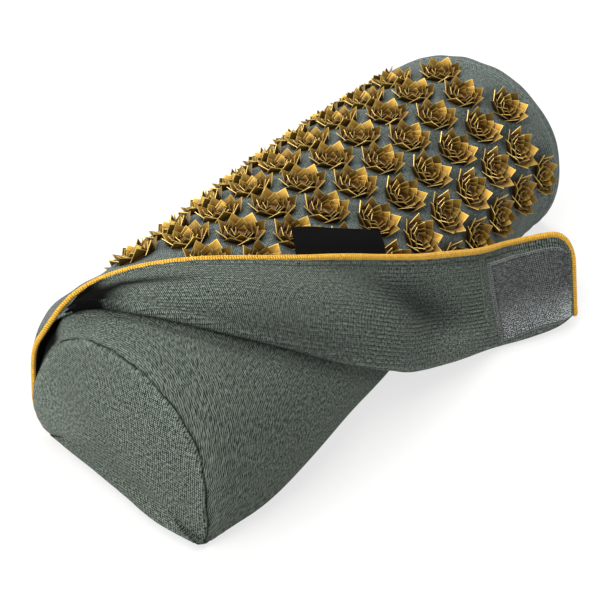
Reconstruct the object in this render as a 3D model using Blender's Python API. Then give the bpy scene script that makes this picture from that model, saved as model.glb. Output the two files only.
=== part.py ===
"""Acupressure cushion: a padded bolster with rounded ends, in a wrap that carries rows of spiked rosettes.

The wrap's loose end is peeled up and turned over, so that its lining and its hook patch show.
Metres, +Z up. X runs along the cushion and its near end is -X. The flap lies on the -Y side.
The origin is the centre of the cushion's footprint, on the floor.
"""
import math

import bmesh
import bpy
from mathutils import Vector

# The stuffed cushion: sizes at its middle and at its two ends
LENGTH = 0.432
MID_WIDTH = 0.192
NEAR_WIDTH = 0.142
FAR_WIDTH = 0.170
MID_BASE = 0.133
FAR_BASE = 0.118
MID_HEIGHT = 0.109
NEAR_HEIGHT = 0.103
FAR_HEIGHT = 0.1158
SHOULDER = 0.041
CROWN_SHARE = 0.69
NEAR_ROUNDING = 9
FAR_ROUNDING = 2
NEAR_SLANT = 0.217
FAR_SHIFT = -0.012
BACK_DRAWN_IN = 0.012
NEAR_BULGE = 0.014
FAR_BULGE = 0.010

# Cloth, and the space left between two pieces that touch
GAP = 0.0003
COVER_CLOTH = 0.0010
WRAP_CLOTH = 0.0016
FLAP_CLOTH = 0.0018
FLAP_FOLD = 0.0025
RIM_FLARE = 0.0035
BASE_INSET = 0.012

# Piping, patches and label
PIPING = 0.0045
PATCH_CLOTH = 0.0014
LOOP_PATCH = 0.058
LOOP_AT = 0.29 * LENGTH
HEM = 0.004
LABEL_CLOTH = 0.0008
HINGE_GAP = 0.0022
SEAM = 0.0007

# Spiked rosettes, in staggered rows along the cushion
PITCH_ALONG = 0.0379
PITCH_AROUND = 0.0282
ROSETTE = 0.030
ROSETTE_HEIGHT = 0.0082
BACKING = 0.023
BACKING_THICKNESS = 0.0010
PETALS = 8
FIRST_ROSETTE = 0.183
BACK_ROW = -0.0870
ROWS = 8
TUCKED_UNDER = 0.042

# The loose end lies over the spikes at this height above the cushion
OVER_SPIKES = 0.013
FLOOR_REST = 0.0045

# Stations along the turned-over end: the piped edge, then the fold, each as (along, turn, stand-off).
# Turn 0 is the crown line and 1 the front edge of the base. A turn of None rests on the floor.
STATIONS = (
    ((-0.194, -0.353, 0.0075), (-0.193, -0.244, 0.0060)),
    ((-0.170, -0.230, 0.0095), (-0.187, -0.040, 0.0050)),
    ((-0.142, -0.033, OVER_SPIKES), (-0.170, 0.180, 0.0050)),
    ((-0.105, 0.144, OVER_SPIKES), (-0.139, 0.392, 0.0050)),
    ((-0.064, 0.280, OVER_SPIKES), (-0.105, 0.560, 0.0055)),
    ((-0.020, 0.410, OVER_SPIKES), (-0.062, 0.715, 0.0120)),
    ((0.022, 0.508, OVER_SPIKES), (-0.018, 0.765, 0.0270)),
    ((0.057, 0.585, OVER_SPIKES), (0.0345, None, 0.0425)),
    ((0.094, 0.650, 0.0150), (0.0640, None, 0.0605)),
    ((0.118, 0.650, 0.0400), (0.0821, None, 0.0688)),
    ((0.125, 0.692, 0.0503), (0.0982, None, 0.0714)),
)
SWING_AT = 5
TAB_AT = 7
LAST = len(STATIONS) - 1
WRAP_EDGE_SHARE = 0.45

AROUND = 20
ALONG = (-0.5, -0.478, -0.45, -0.41, -0.35, -0.26, -0.185, -0.10, 0.02, 0.12, 0.20, 0.27, 0.34, 0.40, 0.45, 0.5)
WRAP_IN = GAP
WRAP_OUT = GAP + WRAP_CLOTH
FLOOR_GAP = WRAP_CLOTH + GAP
LOWER_LIFT = WRAP_OUT - WRAP_CLOTH / 2 + 0.0011
LABEL_LIFT = OVER_SPIKES + 0.0006

# Places along the loose end were measured on a cushion of this length, and stretch with it
STRETCH = LENGTH / 0.432


def mix(first, second, share):
    return first + (second - first) * share


def ease(share):
    return share * share * (3 - 2 * share)


def hull(along, turn, lift=0.0):
    """A point on the stuffed cushion, or at a stand-off from it."""
    end = 2 * along / LENGTH
    if end < 0:
        share = min(-end, 1) ** NEAR_ROUNDING
        width = mix(MID_WIDTH, NEAR_WIDTH, share)
        height = mix(MID_HEIGHT, NEAR_HEIGHT, share)
        base, shift, slant = MID_BASE, 0.0, NEAR_SLANT * share
    else:
        share = end ** FAR_ROUNDING
        width = mix(MID_WIDTH, FAR_WIDTH, share)
        height = mix(MID_HEIGHT, FAR_HEIGHT, share)
        base, shift, slant = mix(MID_BASE, FAR_BASE, share), FAR_SHIFT * share, 0.0
    side = -1 if turn > 0 else 1
    if side > 0:
        width -= 2 * BACK_DRAWN_IN * ease(min(max((along + 0.19) / 0.12, 0), 1))
    reach = abs(turn)
    if reach < CROWN_SHARE:
        angle = reach / CROWN_SHARE * math.pi / 2
        crown = height - SHOULDER
        point = Vector((width / 2 * math.sin(angle), SHOULDER + crown * math.cos(angle)))
        normal = Vector((crown * math.sin(angle), width / 2 * math.cos(angle)))
    else:
        angle = (reach - CROWN_SHARE) / (1 - CROWN_SHARE) * math.pi / 2
        under = (width - base) / 2
        point = Vector((base / 2 + under * math.cos(angle), SHOULDER * (1 - math.sin(angle))))
        normal = Vector((SHOULDER * math.cos(angle), -under * math.sin(angle)))
    point += normal.normalized() * lift
    across = side * point.x + shift
    return Vector((along + slant * across, across, point.y + FLOOR_GAP))


def spot(station):
    """The point of a station, with the turn found for one that rests on the floor."""
    along, turn, lift = station
    along *= STRETCH
    if turn is None:
        turn = floor_turn(along, lift)
    return Vector((along, turn, lift))


def floor_turn(along, lift):
    low, high = CROWN_SHARE, 1.0
    for _ in range(30):
        middle = (low + high) / 2
        if hull(along, middle, lift).z > FLOOR_REST:
            low = middle
        else:
            high = middle
    return low


EDGES = [spot(edge) for edge, _ in STATIONS]
FOLDS = [spot(fold) for _, fold in STATIONS]


def follow(points, place):
    """A smooth path through the points, one unit of place for each."""
    index = min(max(int(math.floor(place)), 0), len(points) - 2)
    share = place - index
    before = points[max(index - 1, 0)]
    start, stop = points[index], points[index + 1]
    after = points[min(index + 2, len(points) - 1)]
    lead = (stop - before) / 2
    trail = (after - start) / 2
    cube, square = share ** 3, share ** 2
    return (start * (2 * cube - 3 * square + 1) + lead * (cube - 2 * square + share)
            + stop * (3 * square - 2 * cube) + trail * (cube - square))


def edge_point(place):
    return hull(*follow(EDGES, place))


def fold_point(place):
    return hull(*follow(FOLDS, place))


def edge_turn(along):
    """The turn at which the piped edge crosses this place along the cushion."""
    for first, second in zip(EDGES, EDGES[1:]):
        if first.x <= along <= second.x:
            return mix(first.y, second.y, (along - first.x) / (second.x - first.x))
    return 1.0


def steps(start, stop, count):
    return [mix(start, stop, i / count) for i in range(count + 1)]


def lie(place, share):
    """Where the loose end lies from its piped edge to its fold: on the cushion, then straight."""
    edge, fold = follow(EDGES, place), follow(FOLDS, place)
    at = hull(*mix(edge, fold, share).xy, mix(edge.z, fold.z, ease(share)))
    return at.lerp(hull(*edge).lerp(hull(*fold), share), ease(min(max((place - 4.5) / 1.5, 0), 1)))


def fold_frame(place):
    """The fold's tip, the way from it toward the piped edge, and the way out of the cloth."""
    tip = fold_point(place)
    toward = (lie(place, 0.8) - tip).normalized()
    along = (fold_point(min(place + 0.1, LAST)) - fold_point(max(place - 0.1, 0))).normalized()
    return tip, toward, along.cross(toward).normalized()


def upper_point(place, share):
    """A point of the flap's upper layer, from the piped edge at 0 to the fold at 1."""
    return lie(place, share) + fold_frame(place)[2] * FLAP_FOLD * ease(share)


def past_piping(place):
    """The share of the way from edge to fold at which the cloth clears the piping."""
    run = (edge_point(min(place + 0.1, LAST)) - edge_point(max(place - 0.1, 0))).normalized()
    share, away = 0.0, 0.0
    while away < PIPING / 2 + SEAM:
        share += 0.004
        away = (upper_point(place, share) - edge_point(place)).cross(run).length
    return share


def flap_section(place, lower_to):
    """The flap at one station, from the piping over its fold and back under to the share lower_to."""
    edge, fold = follow(EDGES, place), follow(FOLDS, place)
    tip, toward, out = fold_frame(place)
    length = (hull(*edge) - tip).length
    last = 1 - FLAP_FOLD / length
    points = [upper_point(place, share) for share in steps(past_piping(place), last, 7)]
    centre = tip + toward * FLAP_FOLD
    for angle in (45, 90, 135):
        turned = math.radians(angle)
        points.append(centre + (out * math.cos(turned) - toward * math.sin(turned)) * FLAP_FOLD)
    joined = lower_to == WRAP_EDGE_SHARE
    if joined:
        lower_to += 0.0020 / length
    for share in steps(last, lower_to, 5):
        if joined:
            low = mix(fold.z - FLAP_FOLD, LOWER_LIFT, ease((last - share) / (last - lower_to)))
            points.append(hull(*mix(edge, fold, share).xy, low))
        else:
            points.append(lie(place, share) - out * FLAP_FOLD)
    return points


def near_places():
    """The stations of the flap's root half, as far as its hinge."""
    step = (edge_point(SWING_AT) - edge_point(SWING_AT - 1)).length
    return steps(0, SWING_AT - HINGE_GAP / 2 / step, 14)


# Meshes
def finish(name, colour, roughness):
    material = bpy.data.materials.new(name)
    material.use_nodes = True
    shader = material.node_tree.nodes["Principled BSDF"]
    shader.inputs["Base Color"].default_value = (*colour, 1.0)
    shader.inputs["Roughness"].default_value = roughness
    return material


def add(name, mesh_maker, material):
    """Adds the closed mesh as a named piece, with its faces pointing outwards."""
    bmesh.ops.remove_doubles(mesh_maker, verts=mesh_maker.verts, dist=1e-6)
    bmesh.ops.recalc_face_normals(mesh_maker, faces=mesh_maker.faces)
    mesh = bpy.data.meshes.new(name)
    mesh_maker.to_mesh(mesh)
    mesh_maker.free()
    mesh.materials.append(material)
    piece = bpy.data.objects.new(name, mesh)
    collection.objects.link(piece)
    return piece


def face(maker, corners):
    kept = [v for i, v in enumerate(corners) if v is not corners[i - 1]]
    if len(kept) > 2:
        maker.faces.new(kept)


def slab(name, front, back, material, ring=False):
    """A sheet between two grids of points. With ring the rows are closed and end in a single point."""
    maker = bmesh.new()
    layers = []
    for grid in (front, back):
        layers.append([[maker.verts.new(p) for p in row] for row in grid])
        if ring:
            layers[-1][-1] = [layers[-1][-1][0]] * len(grid[-1])
    count = len(front[0])
    columns = range(count if ring else count - 1)
    for layer in layers:
        for row, following in zip(layer, layer[1:]):
            for i in columns:
                j = (i + 1) % count
                face(maker, [row[i], row[j], following[j], following[i]])
    top, bottom = layers
    for i in columns:
        j = (i + 1) % count
        face(maker, [top[0][i], top[0][j], bottom[0][j], bottom[0][i]])
        if not ring:
            face(maker, [top[-1][i], top[-1][j], bottom[-1][j], bottom[-1][i]])
    if not ring:
        for k in range(len(front) - 1):
            face(maker, [top[k][0], top[k + 1][0], bottom[k + 1][0], bottom[k][0]])
            face(maker, [top[k][-1], top[k + 1][-1], bottom[k + 1][-1], bottom[k][-1]])
    spare = [v for v in maker.verts if not v.link_faces]
    bmesh.ops.delete(maker, geom=spare, context="VERTS")
    return add(name, maker, material)


def sheet(name, grid, low, high, material):
    """A slab between two stand-offs from a grid, along the grid's own normals."""
    normals = []
    for i, row in enumerate(grid):
        line = []
        for j in range(len(row)):
            down = grid[min(i + 1, len(grid) - 1)][j] - grid[max(i - 1, 0)][j]
            across = row[min(j + 1, len(row) - 1)] - row[max(j - 1, 0)]
            line.append(across.cross(down).normalized())
        normals.append(line)

    def at(offset):
        return [[p + n * offset for p, n in zip(row, line)] for row, line in zip(grid, normals)]

    return slab(name, at(high), at(low), material)


TURNS = steps(-1, 1, AROUND)


def tube(start, stop):
    """Places along the cushion from start to stop, on the rows that all its layers share."""
    return [start] + [LENGTH * a for a in ALONG if start < LENGTH * a < stop] + [stop]


def ring(along, lift):
    """One closed section of the cushion: round over the top, then flat across its base."""
    over = [hull(along, turn, lift) for turn in TURNS]
    under = [over[-1].lerp(over[0], share) for share in (0.25, 0.5, 0.75)]
    return over + under


def dome(along, lift, bulge, offset):
    """The bulging end of one layer, ring by ring to its centre."""
    outline = ring(along, lift)
    centre = sum(outline, Vector()) / len(outline)
    side = 1 if along > 0 else -1
    rows = []
    for share in (1, 0.93, 0.8, 0.6, 0.35, 0):
        away = Vector((side * (offset + bulge * (1 - share ** 2)), 0, 0))
        rows.append([centre.lerp(p, share) + away for p in outline])
    return rows


def piping(name, path, material):
    """Round piping along the path, with flat closed ends."""
    maker = bmesh.new()
    sides = 7
    up = Vector((0.31, 0.17, 0.94))
    rows = []
    for i, point in enumerate(path):
        ahead = (path[min(i + 1, len(path) - 1)] - path[max(i - 1, 0)]).normalized()
        up = (up - ahead * up.dot(ahead)).normalized()
        right = ahead.cross(up)
        row = []
        for k in range(sides):
            angle = 2 * math.pi * k / sides
            out = right * math.cos(angle) + up * math.sin(angle)
            row.append(maker.verts.new(point + out * PIPING / 2))
        rows.append(row)
    for row, following in zip(rows, rows[1:]):
        for k in range(sides):
            maker.faces.new([row[k - 1], row[k], following[k], following[k - 1]])
    maker.faces.new(rows[0])
    maker.faces.new(rows[-1])
    return add(name, maker, material)


# The stuffed cushion
def build_cushion():
    half = LENGTH / 2
    inner = COVER_CLOTH + GAP
    rows = list(reversed(dome(-half, -inner, NEAR_BULGE, 0)))[:-1]
    rows += [ring(a, -inner) for a in tube(-half, half)]
    rows += dome(half, -inner, FAR_BULGE, 0)[1:]
    maker = bmesh.new()
    made = [[maker.verts.new(p) for p in row] for row in rows]
    made[0] = [made[0][0]] * len(rows[0])
    made[-1] = [made[-1][0]] * len(rows[-1])
    for row, following in zip(made, made[1:]):
        for i in range(len(row)):
            face(maker, [row[i - 1], row[i], following[i], following[i - 1]])
    spare = [v for v in maker.verts if not v.link_faces]
    bmesh.ops.delete(maker, geom=spare, context="VERTS")
    add("filling", maker, FILLING)

    places = tube(-half, half)
    slab("inner_cover_tube", [[hull(a, t) for t in TURNS] for a in places],
         [[hull(a, t, -COVER_CLOTH) for t in TURNS] for a in places], COVER)
    flat = []
    for place in places:
        start, stop = hull(place, 1), hull(place, -1)
        inset = GAP / (stop - start).length
        flat.append([start.lerp(stop, share) for share in steps(inset, 1 - inset, 3)])
    lifted = [[p + Vector((0, 0, COVER_CLOTH)) for p in row] for row in flat]
    slab("inner_cover_base", flat, lifted, COVER)
    slab("near_end_panel", dome(-half, 0, NEAR_BULGE, GAP + COVER_CLOTH),
         dome(-half, 0, NEAR_BULGE, GAP), COVER, ring=True)
    slab("inner_far_end_panel", dome(half, 0, FAR_BULGE, GAP + COVER_CLOTH),
         dome(half, 0, FAR_BULGE, GAP), COVER, ring=True)


# The spiked wrap
def wrap_rim(turn):
    """Where the wrap's near edge lies: past the cushion's end at the base, drawn back over the top."""
    drawn = min((1 - abs(turn)) / 0.62, 1)
    return -LENGTH / 2 - 0.0028 + 0.0145 * drawn


def flare(along, turn):
    near = min(max((-along / STRETCH - 0.165) / 0.035, 0), 1.2)
    fade = min(max((1 - abs(turn)) / 0.25, 0), 1) * min(max((abs(turn) - 0.36) / 0.12, 0), 1)
    return RIM_FLARE * near ** 2 * fade


def wrap_grid(lift):
    half = LENGTH / 2
    rows = []
    for index, place in enumerate(tube(LENGTH * ALONG[2], half + GAP + COVER_CLOTH)):
        rows.append([hull(place, turn, lift + flare(place, turn)) for turn in TURNS])
    for share in (0.5, 0):
        row = []
        for turn in TURNS:
            place = mix(wrap_rim(turn), LENGTH * ALONG[2], share)
            row.append(hull(place, turn, lift + flare(place, turn)))
        rows.insert(0, row)
    return rows


def wrap_edge():
    """The wrap's free edge as (along, turn), from its near end to the far end."""
    starts = ((-0.228, -0.59), (-0.2065, -0.505), (-0.199, -0.412))
    path = [Vector((along * STRETCH, turn)) for along, turn in starts]
    for place in near_places():
        path.append(mix(follow(EDGES, place), follow(FOLDS, place), WRAP_EDGE_SHARE).xy)
    ends = ((-0.005, 0.69), (0.03, 0.80), (0.06, 0.89), (0.10, 0.955), (0.26, 0.955))
    for along, turn in ends:
        path.append(Vector((along * STRETCH, turn)))
    return path


def build_wrap():
    panel = slab("wrap_panel", wrap_grid(WRAP_OUT), wrap_grid(WRAP_IN), WRAP)
    top, bottom = [], []
    for place in wrap_edge():
        turns = steps(place.y, 1.06, 14)
        top.append([hull(place.x, turn, 0.012) for turn in turns])
        middle = Vector((place.x, 0, SHOULDER))
        bottom.append([hull(place.x, turn).lerp(middle, 0.2) for turn in turns])
    cutter = slab("front_cutter", top, bottom, WRAP)
    collection.objects.unlink(cutter)
    helpers.objects.link(cutter)
    cutter.hide_render = True
    cutter.display_type = "WIRE"
    cut = panel.modifiers.new("open_front", "BOOLEAN")
    cut.operation = "DIFFERENCE"
    cut.solver = "EXACT"
    cut.object = cutter

    half = LENGTH / 2
    low, high = [], []
    for place in [wrap_rim(1)] + tube(LENGTH * ALONG[0], half + GAP + COVER_CLOTH):
        start, stop = hull(place, 1), hull(place, -1)
        wide = (stop - start).length
        row = [start.lerp(stop, share) for share in steps(BASE_INSET / wide, 1 - GAP / wide, 3)]
        low.append([Vector((p.x, p.y, 0)) for p in row])
        high.append([Vector((p.x, p.y, WRAP_CLOTH)) for p in row])
    slab("wrap_base_panel", high, low, WRAP)
    offset = 2 * GAP + COVER_CLOTH
    slab("far_end_panel", dome(half, WRAP_OUT, FAR_BULGE, offset + WRAP_CLOTH),
         dome(half, WRAP_OUT, FAR_BULGE, offset), WRAP, ring=True)
    patch = [t for t in TURNS if -0.95 < t < -0.65]
    span = tube(LOOP_AT - LOOP_PATCH / 2, LOOP_AT + LOOP_PATCH / 2)
    slab("loop_patch", [[hull(a, t, WRAP_OUT + GAP + PATCH_CLOTH) for t in patch] for a in span],
         [[hull(a, t, WRAP_OUT + GAP) for t in patch] for a in span], HOOK)


# Rosettes
def petal_rings():
    """Radius, height and angle offset of the rosette's rings, as shares of its own sizes."""
    return {
        "disc": (BACKING / 2, BACKING_THICKNESS),
        "outer": (ROSETTE / 2, 0.56 * ROSETTE_HEIGHT),
        "valley": (ROSETTE * 0.29, 0.17 * ROSETTE_HEIGHT),
        "middle": (ROSETTE * 0.33, 0.88 * ROSETTE_HEIGHT),
        "inner": (ROSETTE * 0.15, 0.22 * ROSETTE_HEIGHT),
        "tip": (ROSETTE * 0.11, ROSETTE_HEIGHT),
    }


def rosette(maker, centre, ahead, up):
    """Adds one lotus rosette and returns the two facing edges of its backing disc."""
    right = ahead.cross(up).normalized()
    rings = petal_rings()

    def vertex(name, index, height=None):
        radius, top = rings[name]
        angle = 2 * math.pi * index / PETALS
        out = ahead * math.cos(angle) + right * math.sin(angle)
        return maker.verts.new(centre + out * radius + up * (top if height is None else height))

    bottom = [vertex("disc", k + 0.5, 0) for k in range(PETALS)]
    disc = [vertex("disc", k + 0.5) for k in range(PETALS)]
    valley = [vertex("valley", k + 0.5) for k in range(PETALS)]
    inner = [vertex("inner", k) for k in range(PETALS)]
    heart = maker.verts.new(centre + up * 0.3 * ROSETTE_HEIGHT)
    maker.faces.new(bottom)
    for k in range(PETALS):
        if k not in (0, PETALS // 2):
            maker.faces.new([bottom[k - 1], bottom[k], disc[k], disc[k - 1]])
        tip = vertex("outer", k)
        for first, second in ((disc[k - 1], disc[k]), (disc[k], valley[k]), (valley[k], valley[k - 1]),
                              (valley[k - 1], disc[k - 1])):
            maker.faces.new([first, second, tip])
        maker.faces.new([valley[k - 1], valley[k], inner[k]])
        tip = vertex("middle", k + 0.5)
        after = inner[(k + 1) % PETALS]
        for first, second in ((valley[k], inner[k]), (inner[k], after), (after, valley[k])):
            maker.faces.new([first, second, tip])
    for k in range(0, PETALS, 2):
        tip = vertex("tip", k + 1)
        corners = [inner[k], inner[k + 1], inner[(k + 2) % PETALS], heart]
        for first, second in zip(corners, corners[1:] + corners[:1]):
            maker.faces.new([first, second, tip])
    ends = []
    for k in (0, PETALS // 2):
        ends.append([bottom[k - 1], bottom[k], disc[k], disc[k - 1]])
    return ends


def turn_at(along, arc):
    """The turn whose distance round the cushion from its crown line is arc."""
    side = 1 if arc > 0 else -1
    last, walked, turn = hull(along, 0), 0.0, 0.0
    while walked < abs(arc):
        turn += 0.002
        point = hull(along, side * turn)
        walked += (point - last).length
        last = point
    return side * turn


def build_spike_row(number):
    arc = BACK_ROW + (number - 1) * PITCH_AROUND
    start = FIRST_ROSETTE - (PITCH_ALONG / 2 if number % 2 else 0)
    maker = bmesh.new()
    last = None
    count = 8 if number % 2 else 9
    for k in range(count):
        along = start - k * PITCH_ALONG
        turn = turn_at(along, arc)
        if turn > edge_turn(along) + TUCKED_UNDER:
            break
        foot = hull(along, turn, WRAP_OUT + 1.5 * GAP)
        ahead = (hull(along + 0.01, turn, WRAP_OUT) - hull(along - 0.01, turn, WRAP_OUT)).normalized()
        up = hull(along, turn, 0.02) - foot
        up = (up - ahead * up.dot(ahead)).normalized()
        front, back = rosette(maker, foot, ahead, up)
        if last is None:
            maker.faces.new(front)
        else:
            pairs = [(last[1], front[0]), (last[0], front[1]), (last[3], front[2]), (last[2], front[3])]
            for (a, b), (c, d) in zip(pairs, pairs[1:] + pairs[:1]):
                maker.faces.new([a, c, d, b])
        last = back
    maker.faces.new(last)
    add(f"spike_row_{number}", maker, SPIKES)


# The turned-over loose end
def between(first, second, share):
    """A row on the straight cloth between two stations of the flap."""
    rows = flap_section(first, 0.8), flap_section(second, 0.8)
    return [p.lerp(q, share) for p, q in zip(*rows)][1:7]


def build_flap():
    far_step = (edge_point(SWING_AT + 1) - edge_point(SWING_AT)).length
    tab_step = (edge_point(TAB_AT + 1) - edge_point(TAB_AT)).length
    near = near_places()
    far = steps(SWING_AT + HINGE_GAP / 2 / far_step, TAB_AT - HINGE_GAP / 2 / tab_step, 5)
    tab = steps(TAB_AT + HINGE_GAP / 2 / tab_step, LAST, 8)
    half = FLAP_CLOTH / 2
    sheet("flap_near", [flap_section(p, WRAP_EDGE_SHARE) for p in near], -half, half, LINING)
    sheet("flap_far", [flap_section(p, 0.72) for p in far], -half, half, LINING)
    sheet("tab_cloth", [flap_section(p, 0.80) for p in tab], -half, half, LINING)

    out = half + GAP
    rows = [between(tab[0], tab[1], 0.25)] + [flap_section(p, 0.8)[1:7] for p in tab[1:8]]
    sheet("hook_patch", rows, out, out + PATCH_CLOTH, HOOK)
    rows = [between(far[-2], far[-1], share) for share in (0.97 - 4 * HEM / tab_step, 0.97)]
    sheet("hem_strip", rows, out + 0.0002, out + 0.5 * PATCH_CLOTH, LINING)

    rim = []
    for turn in [t for t in TURNS if t < -0.4] + [-0.43]:
        place = wrap_rim(turn) - PIPING / 2 - SEAM
        point = hull(place, turn, WRAP_OUT / 2 + flare(place, turn))
        rim.append(Vector((point.x, point.y, max(point.z, PIPING / 2 + GAP))))
    foot = []
    for share in (0.5, 0.65, 0.8, 0.92):
        point = hull(wrap_rim(1), 1).lerp(hull(wrap_rim(1), -1), share)
        foot.append(Vector((point.x - PIPING / 2 - SEAM, point.y, PIPING / 2 + GAP)))
    piping("wrap_piping", foot + rim + [edge_point(p) for p in near], PIPE)
    piping("flap_piping", [edge_point(p) for p in far], PIPE)
    side = (fold_point(LAST) - fold_point(LAST - 1)).normalized() * (PIPING / 2 + SEAM)
    down = [p + side for p in flap_section(LAST, 0.8)[:9]]
    piping("tab_piping", [edge_point(p) for p in tab] + down, PIPE)


def build_label():
    """The bare woven label, sewn in the piping seam and lying on the spikes."""
    rows = []
    for share in steps(0, 1, 4):
        along_edge = mix(3.42, 4.66, share)
        low = follow(EDGES, along_edge)
        high = Vector((mix(-0.069, -0.023, share) * STRETCH, mix(0.110, 0.292, share), low.z))
        first = (PIPING / 2 + GAP) / (hull(*high) - hull(*low)).length
        rows.append([hull(*mix(low, high, s).xy, LABEL_LIFT) for s in steps(first, 1, 2)])
    sheet("label", rows, -LABEL_CLOTH / 2, LABEL_CLOTH / 2, LABEL)


for old in list(bpy.data.objects):
    bpy.data.objects.remove(old)
collection = bpy.data.collections.new("acupressure_cushion")
bpy.context.scene.collection.children.link(collection)
helpers = bpy.data.collections.new("cutters")
bpy.context.scene.collection.children.link(helpers)

FILLING = finish("filling", (0.80, 0.79, 0.76), 0.95)
COVER = finish("cover_twill", (0.105, 0.120, 0.105), 0.90)
WRAP = finish("wrap_twill", (0.095, 0.110, 0.098), 0.90)
LINING = finish("flap_lining", (0.085, 0.100, 0.088), 0.92)
PIPE = finish("piping", (0.74, 0.35, 0.03), 0.70)
SPIKES = finish("spikes", (0.42, 0.24, 0.07), 0.35)
HOOK = finish("hook_tape", (0.10, 0.11, 0.11), 0.95)
LABEL = finish("label_weave", (0.012, 0.012, 0.013), 0.80)

build_cushion()
build_wrap()
for number in range(1, ROWS + 1):
    build_spike_row(number)
build_flap()
build_label()
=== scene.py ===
"""Acupressure cushion: its cloth, spiked rosettes, piping, hook patch and label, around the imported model.

Metres, +Z up. X runs along the cushion and its near end is -X. The turned-over loose end lies on -Y.
"""

import logging
import math
from dataclasses import dataclass
from enum import Enum

import bmesh
import bpy
import numpy as np
from mathutils import Matrix, Vector


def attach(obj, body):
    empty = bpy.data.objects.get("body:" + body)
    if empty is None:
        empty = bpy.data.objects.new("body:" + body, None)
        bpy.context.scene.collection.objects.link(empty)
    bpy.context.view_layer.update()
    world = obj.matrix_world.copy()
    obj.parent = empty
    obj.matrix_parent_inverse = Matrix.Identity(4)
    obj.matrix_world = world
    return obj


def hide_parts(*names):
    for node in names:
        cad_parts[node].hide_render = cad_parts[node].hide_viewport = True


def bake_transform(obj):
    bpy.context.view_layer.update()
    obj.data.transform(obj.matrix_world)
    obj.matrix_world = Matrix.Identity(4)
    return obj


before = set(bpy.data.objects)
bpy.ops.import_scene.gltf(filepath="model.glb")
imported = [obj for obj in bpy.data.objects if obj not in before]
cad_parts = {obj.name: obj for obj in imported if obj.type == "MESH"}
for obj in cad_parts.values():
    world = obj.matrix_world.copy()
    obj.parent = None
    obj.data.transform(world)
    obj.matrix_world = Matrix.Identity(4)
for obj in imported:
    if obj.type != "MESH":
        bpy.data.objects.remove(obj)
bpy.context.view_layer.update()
FLAT = "flat_cloth"
FULL_TURN = 6.283
ON_FLOOR = 9
# The columns of the cushion's grid run on past 1, by this much, back across its base.
BASE_COLUMNS = 0.4
# How far the body's cloth reaches past the form at each end.
END_CLOTH = 0.0013
FLOAT, WHOLE = "NodeSocketFloat", "NodeSocketInt"
log = logging.getLogger("cushion")
Array = np.ndarray
Tree, Node, Socket = bpy.types.NodeTree, bpy.types.Node, bpy.types.NodeSocket
Material, Piece, Mesh = bpy.types.Material, bpy.types.Object, bpy.types.Mesh


def mix(first: Array | float, second: Array | float, share: Array | float) -> Array | float:
    """The value that lies this share of the way from first to second."""
    return first + (second - first) * share


def ease(value: Array | float, low: float = 0.0, high: float = 1.0) -> Array | float:
    """A smooth rise from 0 at low to 1 at high."""
    share = np.clip((value - low) / (high - low), 0, 1)
    return share * share * (3 - 2 * share)


def hump(value: Array | float, middle: float, width: float) -> Array | float:
    """A smooth bump of height 1 round middle."""
    return np.exp(-((value - middle) / width) ** 2)


def unit(vectors: Array) -> Array:
    """The vectors at length 1."""
    return vectors / np.maximum(np.linalg.norm(vectors, axis=-1, keepdims=True), 1e-12)


def wander(u: Array, v: Array, size: float, seed: int) -> Array:
    """A smooth, repeatable wavering over the flat cloth.

    Args:
        u: places along the cloth, in metres.
        v: places across it, in metres.
        size: the usual distance from one rise to the next.
        seed: picks the pattern.
    Returns:
        Values between about -1 and 1.
    """
    rng = np.random.default_rng(seed)
    total = np.zeros(np.broadcast(u, v).shape)
    for _ in range(7):
        angle, phase = rng.uniform(0, FULL_TURN), rng.uniform(0, FULL_TURN)
        pitch = size * rng.uniform(0.7, 1.7)
        total += np.sin(FULL_TURN * (u * math.cos(angle) + v * math.sin(angle)) / pitch + phase)
    return total / 3.2


def walked(points: Array, axis: int = 0) -> Array:
    """The distance walked along a line or grid of points, from 0 at its start.

    Args:
        points: the points.
        axis: the axis along which they follow each other.
    Returns:
        The distance at each point, in metres.
    """
    steps = np.linalg.norm(np.diff(points, axis=axis), axis=-1)
    start = np.zeros_like(np.take(steps, [0], axis=axis))
    return np.concatenate([start, np.cumsum(steps, axis=axis)], axis=axis)


def respace(points: Array, pitch: float) -> Array:
    """The same line with its points evenly spaced, about pitch apart.

    Args:
        points: the line.
        pitch: the wanted distance from point to point.
    Returns:
        The new line.
    """
    at = walked(points)
    places = np.linspace(0, at[-1], max(int(round(at[-1] / pitch)), 2) + 1)
    return np.stack([np.interp(places, at, points[:, k]) for k in range(3)], -1)


def smooth_line(points: Array, per_step: int = 8) -> Array:
    """A smooth curve through the points.

    Args:
        points: the points it passes through.
        per_step: how many points it gets from one of them to the next.
    Returns:
        The finer line.
    """
    places = np.linspace(0, len(points) - 1, (len(points) - 1) * per_step + 1)
    return follow(points, places)


def follow(points: Array, place: Array | float) -> Array:
    """The smooth path through the points, at one unit of place for each.

    Args:
        points: the points, one row each.
        place: where along the path.
    Returns:
        The values there.
    """
    place = np.asarray(place, float)
    index = np.clip(np.floor(place).astype(int), 0, len(points) - 2)
    share = (place - index)[..., None]
    start, stop = points[index], points[index + 1]
    lead = (stop - points[np.maximum(index - 1, 0)]) / 2
    trail = (points[np.minimum(index + 2, len(points) - 1)] - start) / 2
    cube, square = share ** 3, share ** 2
    return (start * (2 * cube - 3 * square + 1) + lead * (cube - 2 * square + share)
            + stop * (3 * square - 2 * cube) + trail * (cube - square))


class End(Enum):
    """The two ends of the cushion."""

    NEAR = -1
    FAR = 1


class Weave(Enum):
    """How a cloth is woven: its value is how much the thread floats run aslant."""

    PLAIN = 0.0
    TWILL = 1.0


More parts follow.
